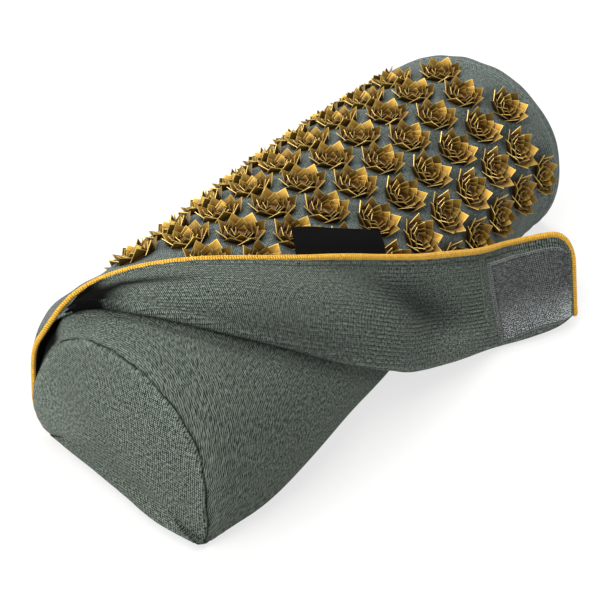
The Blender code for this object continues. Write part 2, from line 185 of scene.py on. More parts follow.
@dataclass(frozen=True)
class CushionForm:
    """The stuffed cushion's outer form, which every cloth on it follows at a stand-off."""

    length: float = 0.432
    mid_width: float = 0.192
    near_width: float = 0.142
    far_width: float = 0.170
    mid_base: float = 0.133
    far_base: float = 0.118
    mid_height: float = 0.109
    near_height: float = 0.103
    far_height: float = 0.1158
    shoulder: float = 0.041
    crown_share: float = 0.69
    near_rounding: int = 9
    far_rounding: int = 2
    near_slant: float = 0.217
    far_shift: float = -0.012
    back_drawn_in: float = 0.012
    near_bulge: float = 0.014
    far_bulge: float = 0.010
    floor_gap: float = 0.0019

    def point(self, along: Array | float, turn: Array | float, lift: Array | float = 0.0) -> Array:
        """Points on the cushion or off it.

        Args:
            along: place along the cushion, 0 at its middle.
            turn: place round it, 0 on the crown line and 1 at the front edge of the base.
            lift: stand-off from the surface.
        Returns:
            The points, in metres.
        """
        along, turn, lift = np.broadcast_arrays(*(np.asarray(v, float) for v in (along, turn, lift)))
        end = 2 * along / self.length
        near = np.clip(-end, 0, 1) ** self.near_rounding
        far = np.clip(end, 0, None) ** self.far_rounding
        width = (self.mid_width + (self.near_width - self.mid_width) * near
                 + (self.far_width - self.mid_width) * far)
        height = (self.mid_height + (self.near_height - self.mid_height) * near
                  + (self.far_height - self.mid_height) * far)
        base = self.mid_base + (self.far_base - self.mid_base) * far
        width = width - np.where(turn <= 0, 2 * self.back_drawn_in * ease(along, -0.19, -0.07), 0)
        reach = np.abs(turn)
        upper = reach < self.crown_share
        crown, under = height - self.shoulder, (width - base) / 2
        angle = np.where(upper, reach / self.crown_share, (reach - self.crown_share) / (1 - self.crown_share))
        angle = angle * math.pi / 2
        x = np.where(upper, width / 2 * np.sin(angle), base / 2 + under * np.cos(angle))
        z = np.where(upper, self.shoulder + crown * np.cos(angle), self.shoulder * (1 - np.sin(angle)))
        nx = np.where(upper, crown * np.sin(angle), self.shoulder * np.cos(angle))
        nz = np.where(upper, width / 2 * np.cos(angle), -under * np.sin(angle))
        size = np.hypot(nx, nz)
        across = np.where(turn > 0, -1, 1) * (x + nx / size * lift) + self.far_shift * far
        return np.stack([along + self.near_slant * near * across, across,
                         z + nz / size * lift + self.floor_gap], -1)

    def ring(self, along: float, turns: Array, lift: Array | float, under: int) -> Array:
        """One closed section: round over the top, then flat across the base.

        Args:
            along: place along the cushion.
            turns: places round it.
            lift: stand-off, one value or one for each turn.
            under: how many points lie between the base's two edges.
        Returns:
            The section's points.
        """
        over = self.point(along, turns, lift)
        shares = np.linspace(0, 1, under + 2)[1:-1, None]
        return np.concatenate([over, mix(over[-1], over[0], shares)])


FORM = CushionForm()


@dataclass(frozen=True)
class TurnedEdge:
    """Where the loose end lies: its piped edge and its fold, station by station along the cushion.

    A station is (along, turn, stand-off), and one whose turn is ON_FLOOR rests on the floor.
    """

    over_spikes: float = 0.013
    floor_rest: float = 0.0045
    piped: tuple = ((-0.194, -0.353, 0.0075), (-0.170, -0.230, 0.0095), (-0.142, -0.033, 0.013),
                    (-0.105, 0.144, 0.013), (-0.064, 0.280, 0.013), (-0.020, 0.410, 0.013),
                    (0.022, 0.508, 0.013), (0.057, 0.585, 0.013), (0.094, 0.650, 0.0150),
                    (0.118, 0.650, 0.0400), (0.125, 0.692, 0.0503))
    folded: tuple = ((-0.193, -0.244, 0.0060), (-0.187, -0.040, 0.0050), (-0.170, 0.180, 0.0050),
                     (-0.139, 0.392, 0.0050), (-0.105, 0.560, 0.0055), (-0.062, 0.715, 0.0120),
                     (-0.018, 0.765, 0.0270), (0.0345, ON_FLOOR, 0.0425), (0.0640, ON_FLOOR, 0.0605),
                     (0.0821, ON_FLOOR, 0.0688), (0.0982, ON_FLOOR, 0.0714))
    wrap_share: float = 0.45
    fold_radius: float = 0.0030

    @property
    def last(self) -> float:
        """The place of the loose end's tip."""
        return float(len(self.piped) - 1)

    def stations(self, rows: tuple) -> Array:
        """The stations with the turn found for each one that rests on the floor.

        Args:
            rows: the stations as written.
        Returns:
            One row of (along, turn, stand-off) for each.
        """
        made = []
        for along, turn, lift in rows:
            if turn == ON_FLOOR:
                turns = np.linspace(FORM.crown_share, 1, 4000)
                turn = turns[np.argmax(FORM.point(along, turns, lift)[:, 2] <= self.floor_rest)]
            made.append((along, turn, lift))
        return np.array(made)

    def edge(self, place: Array | float) -> Array:
        """The piped edge's stations at these places."""
        return follow(EDGES, place)

    def fold(self, place: Array | float) -> Array:
        """The fold's stations at these places."""
        return follow(FOLDS, place)

    def spot(self, station: Array) -> Array:
        """The point in space of a station."""
        return FORM.point(station[..., 0], station[..., 1], station[..., 2])

    def lie(self, place: Array, share: Array | float) -> Array:
        """Where the cloth lies between its piped edge and its fold: on the cushion, then hanging straight.

        Args:
            place: where along the loose end.
            share: how far from edge to fold.
        Returns:
            The points.
        """
        edge, fold = self.edge(place), self.fold(place)
        share = np.broadcast_to(np.asarray(share, float), np.shape(place))
        station = mix(edge, fold, share[..., None])
        station[..., 2] = mix(edge[..., 2], fold[..., 2], ease(share))
        straight = mix(self.spot(edge), self.spot(fold), share[..., None])
        return mix(self.spot(station), straight, ease(place, 4.5, 6.0)[..., None])

    def frame(self, place: Array) -> tuple[Array, Array, Array]:
        """How the cloth lies at its fold.

        Args:
            place: where along the loose end.
        Returns:
            The fold's tip, the way from it toward the piped edge, and the way out of the cloth.
        """
        tip = self.spot(self.fold(place))
        toward = unit(self.lie(np.asarray(place, float), 0.8) - tip)
        along = unit(self.spot(self.fold(np.minimum(place + 0.1, self.last)))
                     - self.spot(self.fold(np.maximum(place - 0.1, 0))))
        return tip, toward, unit(np.cross(along, toward))

    def upper(self, place: Array, share: Array) -> Array:
        """Points of the upper layer, from the piped edge at 0 to the fold at 1.

        Args:
            place: where along the loose end.
            share: how far from edge to fold.
        Returns:
            The points of the cloth's middle.
        """
        return self.lie(place, share) + self.frame(place)[2] * (self.fold_radius * ease(share))[..., None]


LAY = TurnedEdge()
EDGES, FOLDS = LAY.stations(LAY.piped), LAY.stations(LAY.folded)


# Meshes
def paint(mesh: Mesh, label: str, values: Array | list, kind: str = "FLOAT") -> None:
    """Gives each point of a mesh a named value.

    Args:
        mesh: the mesh.
        label: the value's name.
        values: one for each point.
        kind: a number or a vector.
    """
    slot = "value" if kind == "FLOAT" else "vector"
    mesh.attributes.new(label, kind, "POINT").data.foreach_set(slot, np.asarray(values, np.float32).ravel())


def face_out(mesh: Mesh) -> None:
    """Turns a closed mesh's faces outward.

    Args:
        mesh: the mesh, changed in place.
    """
    work = bmesh.new()
    work.from_mesh(mesh)
    bmesh.ops.recalc_face_normals(work, faces=work.faces)
    work.to_mesh(mesh)
    work.free()


def show(name: str, content: object) -> Piece:
    """Puts a mesh, lamp or camera into the scene.

    Args:
        name: the object's name.
        content: what it shows.
    Returns:
        The object.
    """
    thing = bpy.data.objects.new(name, content)
    bpy.context.scene.collection.objects.link(thing)
    return thing


def closed(index: Array) -> Array:
    """Point numbers with their first column again at the end."""
    return np.concatenate([index, index[:, :1]], 1)


class ClothMaker:
    """Gathers faces, with the place of each corner on the flat cloth in metres."""

    def __init__(self) -> None:
        """Starts an empty mesh."""
        self.points: list[Array] = []
        self.count = 0
        self.faces: list[tuple] = []
        self.flats: list[tuple] = []

    def add(self, grid: Array) -> Array:
        """Takes a grid of points in and returns their numbers.

        Args:
            grid: the points.
        Returns:
            Their numbers, in a grid of the same shape.
        """
        flat = grid.reshape(-1, 3)
        self.points.append(flat)
        self.count += len(flat)
        return np.arange(self.count - len(flat), self.count).reshape(grid.shape[:-1])

    def skin(self, index: Array, flat: Array) -> None:
        """Quads over a grid of point numbers.

        Args:
            index: the numbers.
            flat: the place of each on the flat cloth.
        """
        for pick in (index, flat):
            corners = (pick[:-1, :-1], pick[:-1, 1:], pick[1:, 1:], pick[1:, :-1])
            width = 1 if pick is index else 2
            quads = np.stack([c.reshape(-1, width) for c in corners], 1)
            if pick is index:
                self.faces += [tuple(q) for q in quads[..., 0].tolist()]
            else:
                self.flats += [tuple(map(tuple, q)) for q in quads.tolist()]

    def fan(self, centre: int, ring: Array, flat_centre: Array, flat_ring: Array) -> None:
        """Triangles from one centre point to a ring of points.

        Args:
            centre: the centre's number.
            ring: the ring's numbers, first and last the same.
            flat_centre: the centre's place on the flat cloth.
            flat_ring: the same for the ring.
        """
        for k in range(len(ring) - 1):
            self.faces.append((centre, int(ring[k]), int(ring[k + 1])))
            self.flats.append((tuple(flat_centre), tuple(flat_ring[k]), tuple(flat_ring[k + 1])))

    def build(self, name: str, material: Material, masks: dict[str, Array] | None = None
              ) -> Piece:
        """Makes the object.

        Args:
            name: the piece's name.
            material: its finish.
            masks: named values, one for each point.
        Returns:
            The object, smooth, with its faces outward.
        """
        mesh = bpy.data.meshes.new(name)
        mesh.from_pydata(np.concatenate(self.points).tolist(), [], self.faces)
        layer = mesh.uv_layers.new(name=FLAT)
        layer.data.foreach_set("uv", np.array([c for f in self.flats for c in f], np.float32).ravel())
        for label, values in (masks or {}).items():
            paint(mesh, label, values)
        face_out(mesh)
        mesh.polygons.foreach_set("use_smooth", [True] * len(mesh.polygons))
        mesh.materials.append(material)
        return show(name, mesh)


def grid_normals(grid: Array) -> Array:
    """The way out of a grid, at each of its points."""
    return unit(np.cross(np.gradient(grid, axis=1), np.gradient(grid, axis=0)))


def ring_normals(grid: Array) -> Array:
    """The way out of a grid that closes on itself, its first and last column the same."""
    return grid_normals(np.concatenate([grid[:, -2:-1], grid, grid[:, 1:2]], 1))[:, 1:-1]


def flat_places(grid: Array) -> Array:
    """Where each point of a grid lies on the flat cloth, in metres."""
    rows = np.repeat(walked(grid.mean(1))[:, None], grid.shape[1], 1)
    return np.stack([rows, walked(grid, 1)], -1)


def slab(name: str, grid: Array, low: Array | float, high: Array | float, material: Material,
         masks: dict[str, Array] | None = None) -> Piece:
    """A closed sheet of cloth between two stand-offs from a grid.

    Args:
        name: the piece's name.
        grid: the cloth's points, row by row.
        low: stand-off of its lower side.
        high: stand-off of its upper side.
        material: its finish.
        masks: named values over the grid.
    Returns:
        The piece.
    """
    out, flat = grid_normals(grid), flat_places(grid)
    maker = ClothMaker()
    sides = []
    for offset in (high, low):
        offset = np.broadcast_to(np.asarray(offset, float), grid.shape[:2])[..., None]
        sides.append(maker.add(grid + out * offset))
        maker.skin(sides[-1], flat)
    top, bottom = sides
    for cut in (np.s_[0, :], np.s_[-1, :], np.s_[:, 0], np.s_[:, -1]):
        maker.skin(np.stack([top[cut], bottom[cut]]), np.stack([flat[cut], flat[cut] + 0.001]))
    both = {k: np.concatenate([v.ravel(), v.ravel()]) for k, v in (masks or {}).items()}
    return maker.build(name, material, both)


def tube(name: str, path: Array, radius: Array | float, material: Material, sides: int = 14
         ) -> Piece:
    """A round cord along a path, with domed ends.

    Args:
        name: the piece's name.
        path: the points of its middle line.
        radius: half its thickness, one value or one for each point.
        material: its finish.
        sides: how many faces go round it.
    Returns:
        The piece.
    """
    radius = np.broadcast_to(np.asarray(radius, float), len(path))
    ahead = unit(np.gradient(path, axis=0))
    up = np.array((0.31, 0.17, 0.94))
    rows, ups = [], []
    for way in ahead:
        up = unit(up - way * (up @ way))
        ups.append(up)
    angles = np.linspace(0, 2 * math.pi, sides + 1)
    ups = np.array(ups)
    rights = np.cross(ahead, ups)
    at = walked(path)
    for k, point in enumerate(path):
        spokes = np.outer(np.cos(angles), rights[k]) + np.outer(np.sin(angles), ups[k])
        rows.append(point + radius[k] * spokes)
    ends = []
    for k, sign in ((0, -1), (-1, 1)):
        ends.append([path[k] + sign * ahead[k] * radius[k] * math.sin(a)
                     + (rows[k] - path[k]) * math.cos(a) for a in (0.6, 1.15)])
    rows = ends[0][::-1] + rows + ends[1]
    first, last = radius[0], radius[-1]
    at = np.concatenate([[at[0] - first, at[0] - first / 2], at, [at[-1] + last / 2, at[-1] + last]])
    grid = np.array(rows)
    flat = np.stack([np.repeat(at[:, None], sides + 1, 1), np.tile(angles * first, (len(at), 1))], -1)
    maker = ClothMaker()
    index = closed(maker.add(grid[:, :-1]))
    maker.skin(index, flat)
    tips = maker.add(np.array([path[0] - ahead[0] * first, path[-1] + ahead[-1] * last]))
    maker.fan(int(tips[0]), index[0], flat[0].mean(0), flat[0])
    maker.fan(int(tips[1]), index[-1], flat[-1].mean(0), flat[-1])
    return maker.build(name, material)


# Node trees
def put(tree: Tree, kind: str, inputs: dict | None = None, **settings: object) -> Node:
    """Adds a node to a tree.

    Args:
        tree: the tree.
        kind: the node's type.
        inputs: values or sockets for its inputs, by name or number.
        settings: the node's own settings.
    Returns:
        The node.
    """
    node = tree.nodes.new(kind)
    for key, value in settings.items():
        setattr(node, key, value)
    for key, value in (inputs or {}).items():
        if isinstance(value, Socket):
            tree.links.new(value, node.inputs[key])
        else:
            node.inputs[key].default_value = value
    return node


def maths(tree: Tree, operation: str, *values: object) -> Socket:
    """The outcome of one sum on sockets or numbers."""
    node = put(tree, "ShaderNodeMath", dict(enumerate(values)), operation=operation)
    return node.outputs[0]


def blend_colour(tree: Tree, share: object, first: object, second: object,
                 how: str = "MIX") -> Socket:
    """Mixes two colours.

    Args:
        tree: the tree.
        share: how much of the second.
        first: colour or socket.
        second: colour or socket.
        how: the blend.
    Returns:
        The mixed colour's socket.
    """
    node = put(tree, "ShaderNodeMix", data_type="RGBA", blend_type=how)
    for key, value in ((0, share), (6, first), (7, second)):
        if isinstance(value, Socket):
            tree.links.new(value, node.inputs[key])
        elif key == 0:
            node.inputs[key].default_value = value
        else:
            node.inputs[key].default_value = (*value[:3], 1.0)
    return node.outputs[2]


def noise(tree: Tree, where: Socket, scale: float, detail: float,
          roughness: float = 0.5) -> Socket:
    """A cloudy value from 0 to 1, with this many clouds to the metre.

    Args:
        tree: the tree.
        where: the place to read it at.
        scale: clouds to the metre.
        detail: how many finer layers it has.
        roughness: how strong these are.
    Returns:
        The value's socket.
    """
    node = put(tree, "ShaderNodeTexNoise", {"Vector": where, "Scale": scale, "Detail": detail,
                                            "Roughness": roughness})
    return node.outputs["Fac"]


def ranged(tree: Tree, value: Socket, low: float, high: float,
           start: float = 0.0, stop: float = 1.0) -> Socket:
    """A value that runs from start to stop while the given one runs from low to high."""
    return put(tree, "ShaderNodeMapRange", {0: value, 1: low, 2: high, 3: start, 4: stop}).outputs[0]


def scaled(tree: Tree, vector: Socket, level: Socket
           ) -> Socket:
    """A colour or vector times a value."""
    return put(tree, "ShaderNodeVectorMath", {0: vector, "Scale": level}, operation="SCALE").outputs[0]


def stretched(tree: Tree, vector: Socket, by: tuple) -> Socket:
    """A vector with each of its parts times its own number."""
    return put(tree, "ShaderNodeVectorMath", {0: vector, 1: by}, operation="MULTIPLY").outputs[0]


def mask(tree: Tree, label: str) -> Socket:
    """The value of this name that a piece's points carry."""
    return put(tree, "ShaderNodeAttribute", attribute_name=label).outputs["Fac"]


def group(name: str, inputs: dict[str, tuple], outputs: dict[str, str]) -> tuple:
    """An empty shader group with named sockets.

    Args:
        name: the group's name.
        inputs: socket type and starting value, by name.
        outputs: socket type, by name.
    Returns:
        The tree, the sockets of its input node and those of its output node.
    """
    tree = bpy.data.node_groups.new(name, "ShaderNodeTree")
    for label, (kind, value) in inputs.items():
        socket = tree.interface.new_socket(label, in_out="INPUT", socket_type=kind)
        if value is not None:
            socket.default_value = value
    for label, kind in outputs.items():
        tree.interface.new_socket(label, in_out="OUTPUT", socket_type=kind)
    return tree, tree.nodes.new("NodeGroupInput").outputs, tree.nodes.new("NodeGroupOutput").inputs


def woven_threads() -> Tree:
    """The weave that every cloth uses, with its threads in the flat cloth's metres.

    Returns:
        A group that puts out the threads' height and their light and dark.
    """
    tree, given, out = group(
        "woven_threads",
        {"Flat": ("NodeSocketVector", None), "Pitch": (FLOAT, 0.0011),
         "Aslant": (FLOAT, 1.0), "Uneven": (FLOAT, 0.5)},
        {"Height": FLOAT, "Shade": FLOAT})
    flat = given["Flat"]
    waver = put(tree, "ShaderNodeTexNoise", {"Vector": flat, "Scale": 95.0, "Detail": 2.0}).outputs["Color"]
    shift = stretched(tree, waver, (0.0005,) * 3)
    moved = put(tree, "ShaderNodeVectorMath", {0: flat, 1: shift}, operation="ADD")
    parts = put(tree, "ShaderNodeSeparateXYZ", {0: moved.outputs[0]})
    x = maths(tree, "DIVIDE", parts.outputs[0], given["Pitch"])
    y = maths(tree, "DIVIDE", parts.outputs[1], given["Pitch"])
    y_run = maths(tree, "ADD", y, maths(tree, "MULTIPLY", given["Aslant"], x))
    warp, weft = (maths(tree, "ABSOLUTE", maths(tree, "SINE", maths(tree, "MULTIPLY", run, math.pi)))
                  for run in (x, y_run))
    height = maths(tree, "MULTIPLY", warp, weft)
    slub = noise(tree, stretched(tree, flat, (560.0, 1100.0, 1.0)), 1.0, 3.0, 0.7)
    fleck = noise(tree, stretched(tree, flat, (820.0, 520.0, 1.0)), 1.0, 2.0)
    mottle = noise(tree, flat, 360.0, 1.0)
    both = maths(tree, "ADD", maths(tree, "SUBTRACT", slub, 0.5), maths(tree, "SUBTRACT", fleck, 0.5))
    both = maths(tree, "ADD", both, maths(tree, "MULTIPLY", maths(tree, "SUBTRACT", mottle, 0.5), 0.25))
    uneven = maths(tree, "MULTIPLY", both, given["Uneven"])
    shade = maths(tree, "ADD", maths(tree, "MULTIPLY", height, 1.25), maths(tree, "MULTIPLY", uneven, 3.4))
    tree.links.new(maths(tree, "ADD", height, uneven), out["Height"])
    tree.links.new(maths(tree, "SUBTRACT", shade, 0.12), out["Shade"])
    return tree


def worn_and_painted_light() -> Tree:
    """Wear and painted light that every cloth uses: broad patches where handling has lightened or dulled it,
    and a mask that lightens worn edges and paints light where light falls strongly.

    Returns:
        A group that changes a colour by the piece's own mask of wear and painted light and by broad patches.
    """
    tree, given, out = group(
        "worn_and_painted_light",
        {"Colour": ("NodeSocketColor", (0.1, 0.1, 0.1, 1)), "Wear And Painted Light": (FLOAT, 0.0),
         "Patches": (FLOAT, 0.25)},
        {"Colour": "NodeSocketColor", "Dull": FLOAT})
    place = put(tree, "ShaderNodeTexCoord").outputs["Object"]
    broad = noise(tree, place, 21.0, 4.0, 0.55)
    patch = maths(tree, "MULTIPLY", maths(tree, "SUBTRACT", broad, 0.5), given["Patches"])
    level = maths(tree, "ADD", maths(tree, "ADD", 1.0, patch), maths(tree, "MULTIPLY", given["Wear And Painted Light"], 0.35))
    tree.links.new(scaled(tree, given["Colour"], level), out["Colour"])
    tree.links.new(broad, out["Dull"])
    return tree


THREADS, WORN_AND_PAINTED_LIGHT = woven_threads(), worn_and_painted_light()


def new_finish(name: str) -> tuple[Material, Tree, Node]:
    """A new material, with its tree and its shader.

    Args:
        name: its name.
    Returns:
        The material, its tree and its shader.
    """
    made = bpy.data.materials.new(name)
    made.use_nodes = True
    return made, made.node_tree, made.node_tree.nodes["Principled BSDF"]


def set_plain(shader: Node, values: dict[str, object]) -> None:
    """Sets what is the same all over the surface on the shader's own sockets."""
    for key, value in values.items():
        shader.inputs[key].default_value = value


@dataclass(frozen=True)
class Cloth:
    """A woven finish, with its two thread colours, its pitch and how it takes the light."""

    name: str
    dark: tuple
    light: tuple
    pitch: float = 0.0011
    weave: Weave = Weave.TWILL
    uneven: float = 0.5
    bump: float = 0.5
    depth: float = 0.00025
    roughness: float = 0.88
    sheen: float = 0.25
    ribs: float = 0.0
    rib_pitch: float = 0.0026
    patches: float = 0.22
    shine: float = 0.12

    def material(self) -> Material:
        """Builds the finish.

        Returns:
            A material that reads the piece's flat places, its mask of wear and painted light, and its seam
            mask, which darkens seam lines and paints shade.
        """
        made, tree, shader = new_finish(self.name)
        flat = put(tree, "ShaderNodeUVMap", uv_map=FLAT).outputs["UV"]
        weave = put(tree, "ShaderNodeGroup", {"Flat": flat, "Pitch": self.pitch, "Aslant": self.weave.value,
                                              "Uneven": self.uneven}, node_tree=THREADS)
        colour = blend_colour(tree, weave.outputs["Shade"], self.dark, self.light)
        height = weave.outputs["Height"]
        if self.ribs:
            across = put(tree, "ShaderNodeSeparateXYZ", {0: flat}).outputs[1]
            rib = maths(tree, "SINE", maths(tree, "MULTIPLY", across, 2 * math.pi / self.rib_pitch))
            where = ranged(tree, noise(tree, flat, 16.0, 1.0), 0.42, 0.66, 0.15, 1.0)
            rib = maths(tree, "MULTIPLY", maths(tree, "MULTIPLY", rib, where), self.ribs)
            height = maths(tree, "ADD", height, rib)
            colour = scaled(tree, colour, maths(tree, "ADD", 1.0, maths(tree, "MULTIPLY", rib, 0.5)))
        worn_and_lit = put(tree, "ShaderNodeGroup", {"Colour": colour, "Wear And Painted Light": mask(tree, "wear_and_painted_light"),
                                             "Patches": self.patches}, node_tree=WORN_AND_PAINTED_LIGHT)
        # The seam mask darkens toward this colour: dark seam lines, and painted shade in gaps, hollows, folds
        # and round the rosettes' feet.
        gloom = tuple(0.12 * c for c in self.dark)
        shaded = blend_colour(tree, mask(tree, "seam"), worn_and_lit.outputs["Colour"], gloom)
        tree.links.new(shaded, shader.inputs["Base Color"])
        dull = ranged(tree, worn_and_lit.outputs["Dull"], 0.3, 0.7, self.roughness - 0.06, self.roughness + 0.06)
        tree.links.new(dull, shader.inputs["Roughness"])
        bump = put(tree, "ShaderNodeBump", {"Height": height, "Strength": self.bump, "Distance": self.depth})
        tree.links.new(bump.outputs[0], shader.inputs["Normal"])
        set_plain(shader, {"Sheen Weight": self.sheen, "Sheen Roughness": 0.5,
                           "Specular IOR Level": self.shine})
        return made


@dataclass(frozen=True)
class SpikePlastic:
    """Bronze plastic of the rosettes, with a painted highlight along the petals' thin edges and painted shade
    toward their feet.
    """

    name: str = "bronze_spikes"
    body: tuple = (0.43, 0.262, 0.034)
    # deep is the colour of the painted shade at the petals' feet, deep in the bowl.
    deep: tuple = (0.12, 0.053, 0.005)
    # rim is the colour of the painted highlight on the petals' edges.
    rim: tuple = (0.74, 0.55, 0.18)
    roughness: float = 0.46
    metallic: float = 0.70
    coat: float = 0.03

    def material(self) -> Material:
        """Builds the finish from the petals' rim mask, which paints a highlight, their tip mask, which paints
        shade toward their feet, and their tone mask.

        Returns:
            The material.
        """
        made, tree, shader = new_finish(self.name)
        place = put(tree, "ShaderNodeTexCoord").outputs["Object"]
        cloud, grain = noise(tree, place, 160.0, 3.0), noise(tree, place, 1400.0, 2.0)
        clouded = maths(tree, "MULTIPLY", maths(tree, "SUBTRACT", cloud, 0.5), 0.6)
        # Painted shade: the petals darken toward their feet, deep in the rosette's bowl.
        reach = ranged(tree, maths(tree, "ADD", mask(tree, "tip"), clouded), 0.12, 1.05)
        base = blend_colour(tree, reach, self.deep, self.body)
        # Painted highlight along the petals' thin edges.
        mixed = blend_colour(tree, maths(tree, "MULTIPLY", mask(tree, "rim"), 0.62), base, self.rim)
        level = maths(tree, "ADD", maths(tree, "MULTIPLY", mask(tree, "tone"), 0.9), 0.52)
        tree.links.new(scaled(tree, mixed, level), shader.inputs["Base Color"])
        rough = ranged(tree, cloud, 0.3, 0.7, self.roughness - 0.08, self.roughness + 0.1)
        tree.links.new(rough, shader.inputs["Roughness"])
        bump = put(tree, "ShaderNodeBump", {"Height": grain, "Strength": 0.25, "Distance": 0.00008})
        tree.links.new(bump.outputs[0], shader.inputs["Normal"])
        set_plain(shader, {"Metallic": self.metallic, "Coat Weight": self.coat, "Coat Roughness": 0.2})
        return made


@dataclass(frozen=True)
class Paper:
    """The studio floor: pale, near white to the camera, with the object's shadow kept."""

    name: str = "studio_floor"
    colour: tuple = (0.86, 0.86, 0.86, 1.0)
    lifted: float = 0.72

    def material(self) -> Material:
        """Builds the floor's finish.

        Returns:
            The material.
        """
        made, tree, shader = new_finish(self.name)
        set_plain(shader, {"Base Color": self.colour, "Roughness": 0.95, "Specular IOR Level": 0.0})
        white = put(tree, "ShaderNodeEmission", {"Color": (1, 1, 1, 1), "Strength": 1.0})
        rays = put(tree, "ShaderNodeLightPath")
        seen = maths(tree, "MAXIMUM", rays.outputs["Is Camera Ray"], rays.outputs["Is Glossy Ray"])
        seen = maths(tree, "MAXIMUM", seen, rays.outputs["Is Transmission Ray"])
        share = maths(tree, "MULTIPLY", seen, self.lifted)
        both = put(tree, "ShaderNodeMixShader", {0: share, 1: shader.outputs[0], 2: white.outputs[0]})
        tree.links.new(both.outputs[0], tree.nodes["Material Output"].inputs["Surface"])
        return made


def facing(ahead: Array, up: Array) -> Array:
    """Turns that lay a repeated shape's X ahead and its Z up.

    Args:
        ahead: one direction for each shape.
        up: the way out of the surface under it.
    Returns:
        One XYZ turn for each, in radians.
    """
    turns = []
    for way, out in zip(unit(ahead), unit(up)):
        side = unit(np.cross(out, way))
        turns.append(Matrix((way, side, np.cross(way, side))).transposed().to_euler("XYZ"))
    return np.array(turns)


def points_mesh(name: str, points: Array, turns: Array) -> Mesh:
    """Loose points that carry the turn of the shape to be put on each.

    Args:
        name: the mesh's name.
        points: where they are.
        turns: their XYZ turns, in radians.
    Returns:
        The mesh.
    """
    mesh = bpy.data.meshes.new(name)
    mesh.from_pydata(points.tolist(), [], [])
    paint(mesh, "facing", turns, "FLOAT_VECTOR")
    return mesh


def nodes_tree(name: str, inputs: dict[str, tuple]) -> tuple:
    """An empty Geometry Nodes tree with named sockets.

    Args:
        name: the tree's name.
        inputs: socket type and starting value, by name.
    Returns:
        The tree, the sockets of its input node and those of its output node.
    """
    tree = bpy.data.node_groups.new(name, "GeometryNodeTree")
    tree.interface.new_socket("Geometry", in_out="INPUT", socket_type="NodeSocketGeometry")
    for label, (kind, value) in inputs.items():
        socket = tree.interface.new_socket(label, in_out="INPUT", socket_type=kind)
        if value is not None:
            socket.default_value = value
    tree.interface.new_socket("Geometry", in_out="OUTPUT", socket_type="NodeSocketGeometry")
    return tree, tree.nodes.new("NodeGroupInput").outputs, tree.nodes.new("NodeGroupOutput").inputs


def grow(name: str, mesh: Mesh, tree: Tree, values: dict, smooth: bool
         ) -> Piece:
    """Runs a tree on a mesh once, and keeps what it made as a plain mesh.

    Args:
        name: the piece's name.
        mesh: what the tree starts from.
        tree: the tree.
        values: its inputs, by name.
        smooth: whether the faces are shaded smooth.
    Returns:
        The piece, with no modifier left on it.
    """
    host = show(name + "_start", mesh)
    live = host.modifiers.new("grow", "NODES")
    live.node_group = tree
    for item in tree.interface.items_tree:
        if item.in_out == "INPUT" and item.name in values:
            live[item.identifier] = values[item.name]
    bpy.context.view_layer.update()
    made = bpy.data.meshes.new_from_object(host.evaluated_get(bpy.context.evaluated_depsgraph_get()))
    bpy.data.objects.remove(host)
    made.name = name
    made.polygons.foreach_set("use_smooth", [smooth] * len(made.polygons))
    return show(name, made)


def plant(tree: Tree, given: object, out: object, shape: Socket,
          sway: Socket) -> None:
    """Puts a shape on each point, dressed in the finish, and ends the tree.

    Args:
        tree: the tree.
        given: the sockets of its input node.
        out: the sockets of its output node.
        shape: the shape.
        sway: how far each one turns away from its point's own turn.
    """
    turn = put(tree, "GeometryNodeInputNamedAttribute", {"Name": "facing"}, data_type="FLOAT_VECTOR")
    own = put(tree, "FunctionNodeRotateRotation", {0: turn.outputs[0], 1: sway}, rotation_space="LOCAL")
    laid = put(tree, "GeometryNodeInstanceOnPoints",
               {"Points": given["Geometry"], "Instance": shape, "Rotation": own.outputs[0]})
    real = put(tree, "GeometryNodeRealizeInstances", {0: laid.outputs[0]})
    dressed = put(tree, "GeometryNodeSetMaterial", {"Geometry": real.outputs[0], "Material": given["Finish"]})
    tree.links.new(dressed.outputs[0], out[0])


def vector(tree: Tree, **parts: object) -> Socket:
    """A vector from the given X, Y and Z, each a number or a socket."""
    return put(tree, "ShaderNodeCombineXYZ", {key.upper(): value for key, value in parts.items()}).outputs[0]


def stitch_tree() -> Tree:
    """Stitches: one drawn-in bead of thread on each point.

    Returns:
        A tree with the stitch's length, its thread, how uneven it is, its seed and its finish.
    """
    tree, given, out = nodes_tree("stitch_run", {
        "Stitch Length": (FLOAT, 0.0024), "Thread": (FLOAT, 0.0006), "Uneven": (FLOAT, 0.12),
        "Seed": (WHOLE, 3), "Finish": ("NodeSocketMaterial", None)})
    bead = put(tree, "GeometryNodeMeshUVSphere", {"Segments": 6, "Rings": 4, "Radius": 0.5})
    size = vector(tree, x=given["Stitch Length"], y=given["Thread"], z=given["Thread"])
    shaped = put(tree, "GeometryNodeTransform", {"Geometry": bead.outputs[0], "Scale": size})
    low = vector(tree, z=maths(tree, "MULTIPLY", given["Uneven"], -1.0))
    sway = put(tree, "FunctionNodeRandomValue",
               {"Seed": given["Seed"], 0: low, 1: vector(tree, z=given["Uneven"])}, data_type="FLOAT_VECTOR")
    plant(tree, given, out, shaped.outputs[0], sway.outputs[0])
    return tree


